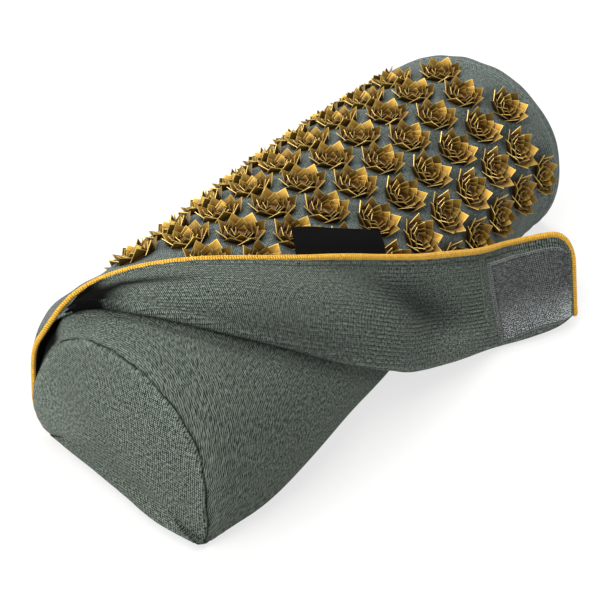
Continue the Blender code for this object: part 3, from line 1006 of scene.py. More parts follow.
# Finishes
COVER_TWILL = Cloth("cover_twill", (0.010, 0.015, 0.011), (0.172, 0.201, 0.175), pitch=0.0013, uneven=0.68,
                    sheen=0.0, shine=0.05)
WRAP_TWILL = Cloth("wrap_twill", (0.018, 0.024, 0.023), (0.185, 0.222, 0.206), pitch=0.0015, uneven=0.6,
                   sheen=0.06)
LINING_RIB = Cloth("flap_lining", (0.008, 0.012, 0.009), (0.178, 0.209, 0.183), pitch=0.0013, uneven=0.65,
                   ribs=0.95, sheen=0.0, shine=0.05)
PIPING_TWILL = Cloth("amber_piping", (0.36, 0.165, 0.008), (0.92, 0.55, 0.075), pitch=0.0016, uneven=0.45,
                     bump=0.9, patches=0.15, sheen=0.08)
HOOK_TAPE = Cloth("hook_tape", (0.020, 0.024, 0.025), (0.150, 0.165, 0.165), pitch=0.0014, weave=Weave.PLAIN,
                  uneven=0.7, roughness=0.8)
LABEL_SATIN = Cloth("label_satin", (0.0010, 0.0010, 0.0012), (0.0030, 0.0030, 0.0033), pitch=0.0006,
                    uneven=0.2, bump=0.25, roughness=0.85, patches=0.1, sheen=0.0, shine=0.06)
DARK_THREAD = Cloth("dark_thread", (0.018, 0.021, 0.020), (0.045, 0.052, 0.048), pitch=0.0005, uneven=0.2)
HOOKS = Cloth("hook_plastic", (0.05, 0.057, 0.058), (0.46, 0.50, 0.50), pitch=0.0017, uneven=0.9,
              roughness=0.5)


@dataclass
class InnerCushion:
    """The stuffed cushion in its plain cover, with a sewn seam round each end."""

    cloth: Cloth = COVER_TWILL
    seam_depth: float = 0.0006
    pucker: float = 0.00030
    slack: float = 0.0022
    most: float = 0.0030
    eased: float = 0.6
    steps: int = 20
    dent: float = 0.0007
    stray: float = 0.0007
    lip_out: float = 0.0052
    lip_up: float = 0.0045
    spill: float = 0.0085
    rim_gap: float = 0.0030
    fold_crease: float = 0.0026
    corner: float = 0.0030

    def grid(self, rows: Array, columns: Array) -> Array:
        """The cushion's form, row by row.

        Args:
            rows: below 0 on the near end, 0 to 1 along the body, above 1 on the far end.
            columns: turns from -1 to 1, then BASE_COLUMNS more back across the base.
        Returns:
            A grid of points.
        """
        lines = []
        for row in rows:
            along = (min(max(row, 0), 1) - 0.5) * FORM.length
            over = FORM.point(along, np.minimum(columns, 1))
            across = ((columns - 1) / BASE_COLUMNS)[:, None]
            base = mix(FORM.point(along, 1.0), FORM.point(along, -1.0), across)
            line = np.where(columns[:, None] <= 1, over, base)
            end = End.NEAR if row < 0 else End.FAR
            share = 1 + row if row < 0 else 2 - max(row, 1)
            if share < 1:
                bulge = FORM.near_bulge if end is End.NEAR else FORM.far_bulge
                middle = line[:-1].mean(0)
                line = mix(middle, line, share)
                line[:, 0] += end.value * (END_CLOTH * ease(1 - share, 0, 0.03) + bulge * (1 - share ** 2))
            lines.append(line)
        return np.array(lines)

    def lip(self, rows: Array, columns: Array) -> tuple[Array, Array]:
        """How the near end's lower edge swells out over its foot.

        Args:
            rows: as for grid.
            columns: as for grid.
        Returns:
            How far each point moves out past the end, and how far up.
        """
        t, c = np.meshgrid(rows, columns, indexing="ij")
        across = np.where(c < 0, 1, np.clip((c - 1) / BASE_COLUMNS, 0, 1))
        low = np.where(c >= 1, 1, ease(np.abs(c), 0.95, 1.0))
        near = np.where(t < 0, ease(1 + t, 0.60, 1.0), np.exp(-(np.clip(t, 0, 1) * FORM.length / 0.020) ** 2))
        full = self.lip_up + self.lip_out * (hump(across, 0.24, 0.22) + 0.4 * hump(across, 0.62, 0.20))
        return full * low * near, self.lip_up * low * near

    def outward(self, grid: Array) -> Array:
        """The way out of the closed grid at each point, also at its two poles.

        Args:
            grid: the body's points, row by row.
        Returns:
            One direction for each.
        """
        out = ring_normals(grid)
        out[0], out[-1] = (-1, 0, 0), (1, 0, 0)
        return out

    def close(self, grid: Array, flats: list[tuple[slice, Array]]) -> ClothMaker:
        """Sews a grid into one closed body.

        Args:
            grid: rows from pole to pole, first and last column the same.
            flats: rows, and the places of their points on the flat cloth.
        Returns:
            The mesh, not yet built.
        """
        maker = ClothMaker()
        index = closed(maker.add(grid[1:-1, :-1]))
        for rows, flat in flats:
            maker.skin(index[rows], flat)
        tips = maker.add(np.array([grid[0, 0], grid[-1, 0]]))
        for tip, ring, flat in ((0, 0, flats[0][1][0]), (1, -1, flats[-1][1][-1])):
            maker.fan(int(tips[tip]), index[ring], flat.mean(0), flat)
        return maker

    def swell(self, rows: Array, columns: Array) -> Array:
        """Lets the stuffing press the cover out in a cloth simulation.

        Args:
            rows: the wanted rows.
            columns: the wanted columns.
        Returns:
            How far each point stands off the form, in metres.
        """
        ends = np.array([0, 0.12, 0.25, 0.38, 0.5, 0.62, 0.74, 0.85, 0.94])
        some = np.concatenate([ends - 1, np.linspace(0, 1, 68), 2 - ends[::-1]])
        round_it = np.concatenate([np.linspace(-1, 1, 76), np.linspace(1, 1 + BASE_COLUMNS, 12)[1:]])
        grid = self.grid(some, round_it)
        out = self.outward(grid)
        flat = [(np.s_[:], np.zeros((len(some) - 2, len(round_it), 2)))]
        bag = self.close(grid - out * self.slack, flat).build("stuffing_bag", self.cloth.material())
        held = bag.vertex_groups.new(name="held")
        ring = len(round_it) - 1
        for k, row in enumerate(some[1:-1]):
            for j, column in enumerate(round_it[:-1]):
                if abs(row) < 0.004 or abs(row - 1) < 0.004 or column >= 1 or column == -1:
                    held.add([k * ring + j], 1.0, "REPLACE")
        cloth = bag.modifiers.new("stuffing", "CLOTH").settings
        cloth.quality = 6
        cloth.mass = 0.3
        cloth.tension_stiffness = cloth.compression_stiffness = 20
        cloth.bending_stiffness = 0.4
        cloth.use_pressure = True
        cloth.uniform_pressure_force = 4.0
        cloth.vertex_group_mass = "held"
        cloth.effector_weights.gravity = 0.0
        for step in range(self.steps):
            bpy.context.scene.frame_set(step + 1)
        done = bag.evaluated_get(bpy.context.evaluated_depsgraph_get()).to_mesh()
        where = np.empty(len(done.vertices) * 3)
        done.vertices.foreach_get("co", where)
        where = where.reshape(-1, 3)
        body = where[:-2].reshape(len(some) - 2, ring, 3)
        tips = [np.broadcast_to(where[k], (1, ring, 3)) for k in (-2, -1)]
        moved = closed(np.concatenate([tips[0], body, tips[1]]))
        bpy.context.scene.frame_set(1)
        bpy.data.objects.remove(bag)
        lift = ((moved - grid) * out).sum(-1) + self.slack
        lift = self.eased * np.clip(lift, 0, self.slack + self.most)
        log.info("cover pressed out by %.1f to %.1f mm", 1000 * lift.min(), 1000 * lift.max())
        padded = np.pad(lift, 1, mode="edge")
        tall, wide = lift.shape
        lift = sum(padded[i:i + tall, j:j + wide] for i in range(3) for j in range(3)) / 9
        half = np.stack([np.interp(columns, round_it, line) for line in lift])
        return np.stack([np.interp(rows, some, half[:, j]) for j in range(len(columns))], 1)

    def build(self) -> Piece:
        """Builds the stuffed, covered cushion.

        Returns:
            The cushion, with its seams and puckers.
        """
        ends = np.concatenate([[0], np.linspace(0.06, 0.90, 22),
                               [0.93, 0.95, 0.965, 0.975, 0.983, 0.989, 0.9945]])
        close = np.array([0, 0.35, 0.7, 1.1, 1.6, 2.3, 3.2, 4.4, 6.0, 8.0, 10.0]) / 1000 / FORM.length
        body = np.concatenate([close, np.linspace(0.012 / FORM.length, 1, 150)])
        rows = np.concatenate([ends - 1, body, 2 - ends[::-3], [2.0]])
        columns = np.concatenate([np.linspace(-1, 1, 201), np.linspace(1, 1 + BASE_COLUMNS, 20)[1:]])
        grid = self.grid(rows, columns)
        out = self.outward(grid)
        around = walked(grid, 1)
        t, c = np.meshgrid(rows, columns, indexing="ij")
        away = np.where(t < 0, t * 0.066, np.clip(t, 0, 1) * FORM.length)
        strays = self.stray * wander(around, around * 0, 0.030, 5) * np.exp(-np.abs(away) / 0.004)
        near_seam = np.abs(away + strays)
        lift = self.swell(rows, columns)
        lift += self.dent * wander(grid[..., 0], around, 0.055, 11)
        ripple = np.sin(FULL_TURN * around / 0.0088 + 1.6 * wander(around, away, 0.04, 2))
        lift += self.pucker * ripple * np.exp(-near_seam / 0.007)
        lift -= 0.0005 * np.exp(-near_seam / 0.004)
        # Under the wrap the cover lies close, and only the free part may stand out.
        along = (np.clip(t, 0, 1) - 0.5) * FORM.length
        bare = np.interp(along, FOLDS[:, 0], FOLDS[:, 1], right=1.0)
        free = np.where(t < -0.02, 1.0, ease(c, bare - 0.04, bare + 0.08))
        lift = np.minimum(lift, -0.0002 + free * self.most)
        groove = hump(near_seam, 0, 0.00055) * (c < 1)
        lift -= self.seam_depth * groove
        lift -= FAR_ROUND * rounding(along) * (t >= 0)
        # The dark gap under the flared rim, the crease below the fold, and the full front corner.
        gap = ease(-c, 0.34, 0.46) * ease(1 + c, 0.04, 0.20) * ease(-along, 0.165, 0.190) * (t >= 0)
        lift -= self.rim_gap * gap
        lift -= self.fold_crease * hump(c, bare + 0.035, 0.045) * ease(-along, -0.02, 0.03) * (t >= 0)
        lift += self.corner * hump(along, -0.182, 0.030) * hump(c, 0.90, 0.10) * (t >= 0)
        lift[c >= 1] = np.minimum(lift[c >= 1], 0)
        grid = grid + out * lift[..., None]
        # The near end swells out over its foot, and over the rim behind.
        past, up = self.lip(rows, columns)
        spill = np.where(t < 0, ease(1 + t, 0.45, 0.96), hump(away, 0, 0.012))
        spill = hump(c, -0.74, 0.17) * (1 - ease(-c, 0.88, 1.0)) * spill
        grid[..., 0] -= past + self.spill * spill
        grid[..., 1] += 0.4 * self.spill * spill
        grid[..., 2] += up
        first, last = len(ends) - 1, len(ends) + len(body) - 2
        tube_flat = np.stack([walked(grid), around], -1)
        end_flat = np.stack([grid[..., 1] + 0.5, grid[..., 2] + 0.5], -1)
        flats = [(np.s_[:first + 1], end_flat[1:first + 2]),
                 (np.s_[first:last + 1], tube_flat[first + 1:last + 2]),
                 (np.s_[last:], end_flat[last + 1:-1])]
        maker = self.close(grid, flats)
        tail = np.zeros(2)
        # The seam's groove darkens as a dark seam line, and the gap under the flared rim is darkened as
        # painted shade.
        dark = np.maximum(0.85 * groove, 0.97 * gap * ease(along, -0.2135, -0.2095))
        # Paler beside the seams, and painted sheen on the near end's left side, where light grazes it.
        wear_and_painted_light = 0.5 * hump(near_seam, 0.003, 0.003)
        wear_and_painted_light += 0.9 * ease(-c, 0.35, 0.85) * (t < 0) * ease(1 + t, 0.15, 0.8)
        masks = {"seam": np.concatenate([dark[1:-1, :-1].ravel(), tail]),
                 "wear_and_painted_light": np.concatenate([wear_and_painted_light[1:-1, :-1].ravel(), tail])}
        piece = maker.build("stuffed_cushion", self.cloth.material(), masks)
        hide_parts("filling", "inner_cover_tube", "inner_cover_base", "near_end_panel",
                    "inner_far_end_panel")
        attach(piece, "cushion")
        return piece


FAR_ROUND = 0.0060


def rounding(along: Array) -> Array:
    """How far in the far end's edge is rounded, as a share of its radius, from 0 to 1."""
    reach = np.clip((along - (FORM.length / 2 + END_CLOTH - FAR_ROUND)) / FAR_ROUND, 0, 1)
    return 1 - np.sqrt(1 - 0.98 * reach ** 2)


def far_fullness(along: Array | float, turn: Array) -> Array:
    """How much fuller the cloth lies over the far end's shoulder than the plain form."""
    return (0.0030 * hump(turn, 0.17, 0.20) + 0.0012 * hump(turn, 0.86, 0.10)) * ease(along, 0.10, 0.19)


@dataclass
class Wrap:
    """The spiked cloth round the cushion, open along its front, with its far end and base."""

    cloth: Cloth = WRAP_TWILL
    gap: float = 0.0003
    thickness: float = 0.0016
    rim_flare: float = 0.0058
    quilted: float = 0.0013
    base_inset: float = 0.012
    loop_patch: float = 0.058
    loop_at: float = 0.125
    far_ridge: float = 0.2065
    rim_set_back: float = 0.0028
    rim_rise: float = 0.0145

    @property
    def top(self) -> float:
        """Stand-off of the wrap's outer side."""
        return self.gap + self.thickness

    def rim(self, turn: Array | float) -> Array | float:
        """Where the wrap's near edge lies along the cushion."""
        under = 0.009 * ease(np.abs(turn), 0.80, 0.96)
        back = self.rim_rise * np.minimum((1 - np.abs(turn)) / 0.62, 1)
        return -FORM.length / 2 - self.rim_set_back + under + back

    def flare(self, along: Array, turn: Array) -> Array:
        """How far the near rim stands away from the cushion.

        Args:
            along: places along the cushion.
            turn: turns round it.
        Returns:
            The extra stand-off there.
        """
        near = np.clip((-along - 0.184) / 0.0250, 0, 1.2)
        fade = np.clip((1 - np.abs(turn)) / 0.25, 0, 1) * np.clip((np.abs(turn) - 0.36) / 0.12, 0, 1)
        behind = 0.0036 * hump(turn, -0.47, 0.12) * hump(along, -0.180, 0.024)
        return (self.rim_flare * fade + 0.0034 * hump(turn, -0.84, 0.12)) * near ** 2 + behind

    def free_edge(self) -> Array:
        """The wrap's free edge as (along, turn), from its near end to the far end.

        Returns:
            The edge's points.
        """
        places = np.linspace(0, 4.97, 30)
        sewn = mix(LAY.edge(places), LAY.fold(places), LAY.wrap_share)[:, :2]
        first = [(-0.228, -0.59), (-0.2065, -0.505), (-0.199, -0.412)]
        return np.concatenate([first, sewn, [(-0.005, 0.69), (0.03, 0.80), (0.06, 0.89), (0.10, 0.955),
                                             (0.26, 0.955)]])

    def build_panel(self, feet: Array) -> Piece:
        """Builds the spiked cloth.

        Args:
            feet: where the rosettes are sewn on, as (along, turn, distance round the section).
        Returns:
            The cloth, quilted between its rosettes and wrinkled toward the far end.
        """
        edge = self.free_edge()
        start = -0.45 * FORM.length
        shares = np.linspace(0, 1, 150)
        lines = []
        for row in np.linspace(1, 0, 12)[:-1]:
            limit = -0.43
            # The rim's place and the free edge's turn depend on each other, so they are found by steps.
            for _ in range(12):
                place = mix(self.rim(limit), start, 1 - row)
                limit = float(np.interp(place, edge[:, 0], edge[:, 1]))
            turns = mix(-1.0, limit, shares)
            lines.append((mix(self.rim(turns), start, 1 - row), turns))
        finish_at = FORM.length / 2 + END_CLOTH
        for along in np.concatenate([np.arange(start, finish_at - 0.0075, 0.0026),
                                     np.linspace(finish_at - 0.0072, finish_at, 12)]):
            limit = float(np.interp(along, edge[:, 0], edge[:, 1]))
            lines.append((np.full(len(shares), along), mix(-1.0, limit, shares)))
        along, turn = np.array([line[0] for line in lines]), np.array([line[1] for line in lines])
        arc = arc_at(along, turn)
        nearest = np.full(along.shape, 9.0)
        for foot in feet:
            nearest = np.minimum(nearest, np.hypot(along - foot[0], arc - foot[2]))
        # Quilted between the rosettes, with a fine wavering over all of it.
        between = ease(nearest, 0.011, 0.022)
        room = ease(arc, -0.13, -0.10) * ease(along, -0.19, -0.15)
        lift = self.quilted * between * room
        lift = lift + 0.0004 * (1 + wander(along, arc, 0.022, 7)) * (0.4 + 0.6 * between)
        # Creased over the far shoulder, with two ridges along the far seam.
        far = ease(along, 0.150, 0.185)
        low = ease(turn, 0.32, 0.5) + 0.7 * ease(-turn, 0.40, 0.6)
        creases = np.sin(FULL_TURN * (along + 0.012 * turn) / 0.0098
                         + 0.8 * wander(along, arc, 0.05, 4))
        lift += 0.0008 * (1 + creases) * far * low
        lift += 0.0013 * hump(along, self.far_ridge, 0.0016) + 0.0008 * hump(along, 0.1985, 0.0020)
        lift += 0.0004 * hump(along, 0.204, 0.016)
        lift += self.flare(along, turn)
        lift += far_fullness(along, turn) - FAR_ROUND * rounding(along)
        lift *= 1 - ease(np.abs(turn), 0.94, 1.0)
        grid = FORM.point(along, turn, lift + self.gap + self.thickness / 2)
        grid[..., 2] = np.maximum(grid[..., 2], self.thickness / 2)
        rim = hump(np.arange(len(lines))[:, None], 0, 3.0) * np.ones(len(shares))
        # Painted shade round each rosette's foot, carried by the seam mask.
        shade = 0.40 * (1 - ease(nearest, 0.011, 0.019))
        wear_and_painted_light = 0.5 * rim + 0.8 * hump(along, self.far_ridge, 0.0016)
        half = self.thickness / 2
        piece = slab("spiked_wrap_cloth", grid, -half, half, self.cloth.material(),
                     {"wear_and_painted_light": wear_and_painted_light, "seam": shade})
        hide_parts("wrap_panel")
        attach(piece, "cushion")
        return piece

    def build_far_end(self) -> Piece:
        """Builds the rounded cloth over the far end.

        Returns:
            The end's cloth.
        """
        turns = np.linspace(-1, 1, 161)
        half = FORM.length / 2
        over = FORM.point(half, turns, self.top - FAR_ROUND * 0.86 + far_fullness(half, turns))
        under = mix(over[-1], over[0], np.linspace(0, 1, 17)[1:, None])
        outline = np.concatenate([over, under])
        outline[:, 2] = np.maximum(outline[:, 2], 0.0018)
        middle = outline[:-1].mean(0)
        rows = []
        for share in np.concatenate([np.linspace(1, 0.94, 5), np.linspace(0.92, 0.04, 22), [0.0]]):
            line = mix(middle, outline, share)
            line[:, 0] += 0.0030 + FORM.far_bulge * (1 - share ** 2)
            rows.append(line)
        grid = np.array(rows)
        out = ring_normals(grid)
        out[-1] = (1, 0, 0)
        inside = ease(0.98 - np.linspace(1, 0, len(rows)), 0, 0.3)[:, None]
        lift = 0.0006 * wander(grid[..., 1], grid[..., 2], 0.05, 9) * inside
        top, bottom = grid + out * lift[..., None], grid + out * (lift - self.thickness)[..., None]
        flat = np.stack([grid[..., 1] + 0.4, grid[..., 2] + 0.9], -1)
        maker = ClothMaker()
        layers = []
        for layer in (top, bottom):
            index = closed(maker.add(layer[:-1, :-1]))
            maker.skin(index, flat[:-1])
            tip = maker.add(layer[-1:, 0])
            maker.fan(int(tip[0]), index[-1], flat[-1, 0], flat[-2])
            layers.append(index)
        maker.skin(np.stack([layers[0][0], layers[1][0]]), np.stack([flat[0], flat[0] + 0.001]))
        piece = maker.build("far_end_cloth", self.cloth.material())
        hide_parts("far_end_panel")
        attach(piece, "cushion")
        return piece

    def build_base(self) -> Piece:
        """Builds the flat cloth under the cushion.

        Returns:
            The base's cloth.
        """
        rows = []
        for along in np.linspace(float(self.rim(1.0)), FORM.length / 2 + 0.001, 90):
            start, stop = FORM.point(along, 1.0), FORM.point(along, -1.0)
            wide = np.linalg.norm(stop - start)
            shares = np.linspace(self.base_inset / wide, 1 - self.gap / wide, 40)
            line = mix(start, stop, shares[:, None])
            near = 1 - ease(along, float(self.rim(1.0)), -0.17)
            line[:, 0] += 0.008 * near * (1 - ease(shares, 0.70, 0.98))
            line[:, 2] = self.thickness / 2
            rows.append(line)
        grid = np.array(rows)[::-1]
        half = self.thickness / 2
        piece = slab("wrap_base_cloth", grid, -half, half, self.cloth.material())
        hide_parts("wrap_base_panel")
        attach(piece, "cushion")
        return piece

    def build_loop_patch(self) -> Piece:
        """Builds the soft loop patch on the back, where the loose end's hooks close.

        Returns:
            The patch.
        """
        low, high = FORM.crown_share - 0.04, 0.95
        along = np.linspace(self.loop_at - self.loop_patch / 2, self.loop_at + self.loop_patch / 2, 46)
        turns = np.linspace(-high, -low - 0.05, 40)
        a, t = np.meshgrid(along, turns, indexing="ij")
        edge = np.minimum(np.minimum(a - along[0], along[-1] - a) / 0.002,
                          np.minimum(t - turns[0], turns[-1] - t) / 0.012)
        fuzz = 0.0002 * wander(a, arc_at(a, t), 0.0035, 8)
        grid = FORM.point(a, t, self.top + 0.0011 + (0.0003 + fuzz) * ease(edge))
        piece = slab("loop_patch_pile", grid, -0.0008, 0.0006, HOOK_TAPE.material(),
                     {"wear_and_painted_light": 0.4 * (1 - ease(edge))})
        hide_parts("loop_patch")
        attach(piece, "cushion")
        return piece


def arc_at(along: Array, turn: Array) -> Array:
    """The distance round the section from the crown line, minus on the back.

    Args:
        along: places along the cushion.
        turn: turns round it.
    Returns:
        The distances, in metres.
    """
    along, turn = np.broadcast_arrays(np.asarray(along, float), np.asarray(turn, float))
    turns = np.linspace(0, 1.05, 300)
    table = walked(FORM.point(0.0, turns))
    wide = FORM.point(along, 0.45)[..., 1] / FORM.point(0.0, 0.45)[1]
    return np.sign(turn) * np.interp(np.abs(turn), turns, table) * np.clip(wide, 0.85, 1.05)


def turn_at(along: float, arc: float) -> float:
    """The turn whose distance round the cushion from its crown line is arc.

    Args:
        along: the place along the cushion.
        arc: the distance.
    Returns:
        The turn.
    """
    side = 1 if arc > 0 else -1
    turns = np.linspace(0, 1, 1001)
    return side * float(np.interp(abs(arc), walked(FORM.point(along, side * turns)), turns))


@dataclass
class Rosettes:
    """The spiked rosettes, in staggered rows along the cushion.

    A ring is (petals, radius, lean in degrees, petal width, petal length, shift in petals).
    """

    finish: SpikePlastic = SpikePlastic()
    rows: int = 8
    pitch_along: float = 0.0379
    pitch_around: float = 0.0282
    first: float = 0.183
    back_row: float = -0.0870
    tucked_under: float = 0.042
    foot_lift: float = 0.0021
    disc: float = 0.0128
    disc_thickness: float = 0.0010
    sway: float = 0.15
    overlap: float = 0.16
    spin: float = 0.25
    rings: tuple = ((8, 0.0112, 40.0, 0.0142, 0.0080, 0.0), (8, 0.0081, 30.0, 0.0108, 0.0058, 0.5),
                    (6, 0.0053, 25.0, 0.0088, 0.0047, 0.2), (4, 0.0027, 22.0, 0.0070, 0.0038, 0.0))

    def places(self, number: int) -> list[tuple[float, float, float]]:
        """Where the rosettes of one row are sewn on.

        Args:
            number: the row, counted from the back.
        Returns:
            For each rosette its place along the cushion, its turn, and its distance round the section.
        """
        arc = self.back_row + (number - 1) * self.pitch_around
        start = self.first - (self.pitch_along / 2 if number % 2 else 0)
        found = []
        for k in range(8 if number % 2 else 9):
            along = start - k * self.pitch_along
            turn = turn_at(along, arc)
            if turn > float(np.interp(along, EDGES[:, 0], EDGES[:, 1], right=1.0)) + self.tucked_under:
                break
            found.append((along, turn, arc))
        return found

    def petal(self) -> Piece:
        """One pointed petal, a metre wide and long, creased along its middle, with a rim mask for a painted
        highlight.

        Returns:
            The petal, to be scaled by the tree.
        """
        outline = [(-0.5, 0.0), (-0.38, 0.24), (0.0, 1.0), (0.38, 0.24), (0.5, 0.0)]
        inset = [(-0.46, 0.0), (-0.34, 0.23), (0.0, 0.92), (0.34, 0.23), (0.46, 0.0)]
        points, rims, tips = [], [], []
        for side in (0.5, -0.5):
            for shape, rim in ((outline, 1.0), (inset, 0.0)):
                for y, z in shape:
                    crease = 0.035 * (1 - 2 * abs(y)) * (1 - 0.5 * z)
                    points.append((crease + side * (0.034 if rim else 0.042), y, z))
                    rims.append(rim)
                    tips.append(z)
            points.append((0.035 + side * 0.042, 0.0, 0.0))
            rims.append(0.0)
            tips.append(0.0)
        faces = []
        for base, turned in ((0, False), (11, True)):
            some = [(base + k, base + k + 1, base + k + 6, base + k + 5) for k in range(4)]
            some += [(base + 5, base + 6, base + 7, base + 10), (base + 10, base + 7, base + 8, base + 9)]
            faces += [f[::-1] if turned else f for f in some]
        faces += [(k + 11, k + 12, k + 1, k) for k in range(4)]
        ring = [0, 5, 10, 9, 4]
        faces.append((*ring, *(k + 11 for k in ring[::-1])))
        mesh = bpy.data.meshes.new("petal")
        mesh.from_pydata(points, [], faces)
        paint(mesh, "rim", rims)
        paint(mesh, "tip", tips)
        face_out(mesh)
        return show("petal", mesh)

    def tree(self) -> Tree:
        """A rosette on each point: rings of petals on a disc.

        Returns:
            A tree with the petal, each ring's sizes, the disc, the sway between petals, and the finish.
        """
        sizes = {"Petal": ("NodeSocketObject", None), "Disc Radius": (FLOAT, self.disc),
                 "Disc Thickness": (FLOAT, self.disc_thickness), "Sway": (FLOAT, self.sway),
                 "Overlap": (FLOAT, self.overlap), "Spin": (FLOAT, self.spin),
                 "Seed": (WHOLE, 4), "Finish": ("NodeSocketMaterial", None)}
        for k, (count, radius, lean, wide, long, phase) in enumerate(self.rings, 1):
            sizes |= {f"Petals {k}": (WHOLE, count), f"Radius {k}": (FLOAT, radius),
                      f"Lean {k}": (FLOAT, math.radians(lean)), f"Width {k}": (FLOAT, wide),
                      f"Length {k}": (FLOAT, long), f"Phase {k}": (FLOAT, phase)}
        tree, given, out = nodes_tree("rosette_row", sizes)
        petal = put(tree, "GeometryNodeObjectInfo", {"Object": given["Petal"]}).outputs["Geometry"]
        index = put(tree, "GeometryNodeInputIndex").outputs[0]
        joined = put(tree, "GeometryNodeJoinGeometry")
        full_circle = 6.28318
        for k in range(1, len(self.rings) + 1):
            circle = put(tree, "GeometryNodeMeshCircle", {"Vertices": given[f"Petals {k}"],
                                                          "Radius": given[f"Radius {k}"]})
            seed = maths(tree, "ADD", given["Seed"], float(k))
            sway = put(tree, "FunctionNodeRandomValue", {"Seed": seed}, data_type="FLOAT").outputs[1]
            unevenly = maths(tree, "MULTIPLY", maths(tree, "SUBTRACT", sway, 0.5), given["Sway"])
            lean = maths(tree, "ADD", given[f"Lean {k}"], maths(tree, "MULTIPLY", unevenly, 2.0))
            each = maths(tree, "DIVIDE", full_circle, given[f"Petals {k}"])
            turn = vector(tree, y=lean, z=maths(tree, "MULTIPLY", index, each))
            lapped = put(tree, "FunctionNodeRotateRotation", {0: turn, 1: vector(tree, z=given["Overlap"])},
                         rotation_space="LOCAL")
            wide = given[f"Width {k}"]
            ring = put(tree, "GeometryNodeInstanceOnPoints", {
                "Points": circle.outputs[0], "Instance": petal, "Rotation": lapped.outputs[0],
                "Scale": vector(tree, x=wide, y=wide, z=given[f"Length {k}"])})
            tone = put(tree, "FunctionNodeRandomValue", {"Seed": maths(tree, "ADD", seed, 20.0)},
                       data_type="FLOAT").outputs[1]
            toned = put(tree, "GeometryNodeStoreNamedAttribute", {0: ring.outputs[0], 2: "tone", 3: tone},
                        data_type="FLOAT", domain="INSTANCE")
            step = maths(tree, "MULTIPLY", given[f"Phase {k}"], each)
            turned = put(tree, "GeometryNodeTransform", {
                "Geometry": toned.outputs[0], "Rotation": vector(tree, z=step),
                "Translation": vector(tree, z=given["Disc Thickness"])})
            tree.links.new(turned.outputs[0], joined.inputs[0])
        disc = put(tree, "GeometryNodeMeshCylinder", {"Vertices": 18, "Radius": given["Disc Radius"],
                                                      "Depth": given["Disc Thickness"]})
        raised = vector(tree, z=maths(tree, "DIVIDE", given["Disc Thickness"], 2.0))
        laid = put(tree, "GeometryNodeTransform", {"Geometry": disc.outputs[0], "Translation": raised})
        tree.links.new(laid.outputs[0], joined.inputs[0])
        whole = put(tree, "GeometryNodeGeometryToInstance", {0: joined.outputs[0]})
        spin = put(tree, "FunctionNodeRandomValue", {"Seed": given["Seed"]}, data_type="FLOAT").outputs[1]
        spun = maths(tree, "MULTIPLY", spin, given["Spin"])
        plant(tree, given, out, whole.outputs[0], vector(tree, z=spun))
        return tree

    def build(self) -> list[Piece]:
        """Builds one piece for each row of rosettes.

        Returns:
            The pieces, from the back row on.
        """
        tree, petal, finish = self.tree(), self.petal(), self.finish.material()
        made = []
        for number in range(1, self.rows + 1):
            rows = np.array(self.places(number))
            feet = FORM.point(rows[:, 0], rows[:, 1], self.foot_lift + far_fullness(rows[:, 0], rows[:, 1]))
            ahead = unit(FORM.point(rows[:, 0] + 0.01, rows[:, 1], self.foot_lift)
                         - FORM.point(rows[:, 0] - 0.01, rows[:, 1], self.foot_lift))
            up = unit(FORM.point(rows[:, 0], rows[:, 1], 0.02) - feet)
            up = unit(up - ahead * (up * ahead).sum(-1, keepdims=True))
            points = points_mesh(f"row_{number}", feet, facing(ahead, up))
            piece = grow(f"rosettes_row_{number}", points, tree,
                         {"Petal": petal, "Seed": number, "Finish": finish}, smooth=False)
            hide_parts(f"spike_row_{number}")
            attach(piece, "cushion")
            made.append(piece)
        bpy.data.objects.remove(petal)
        return made


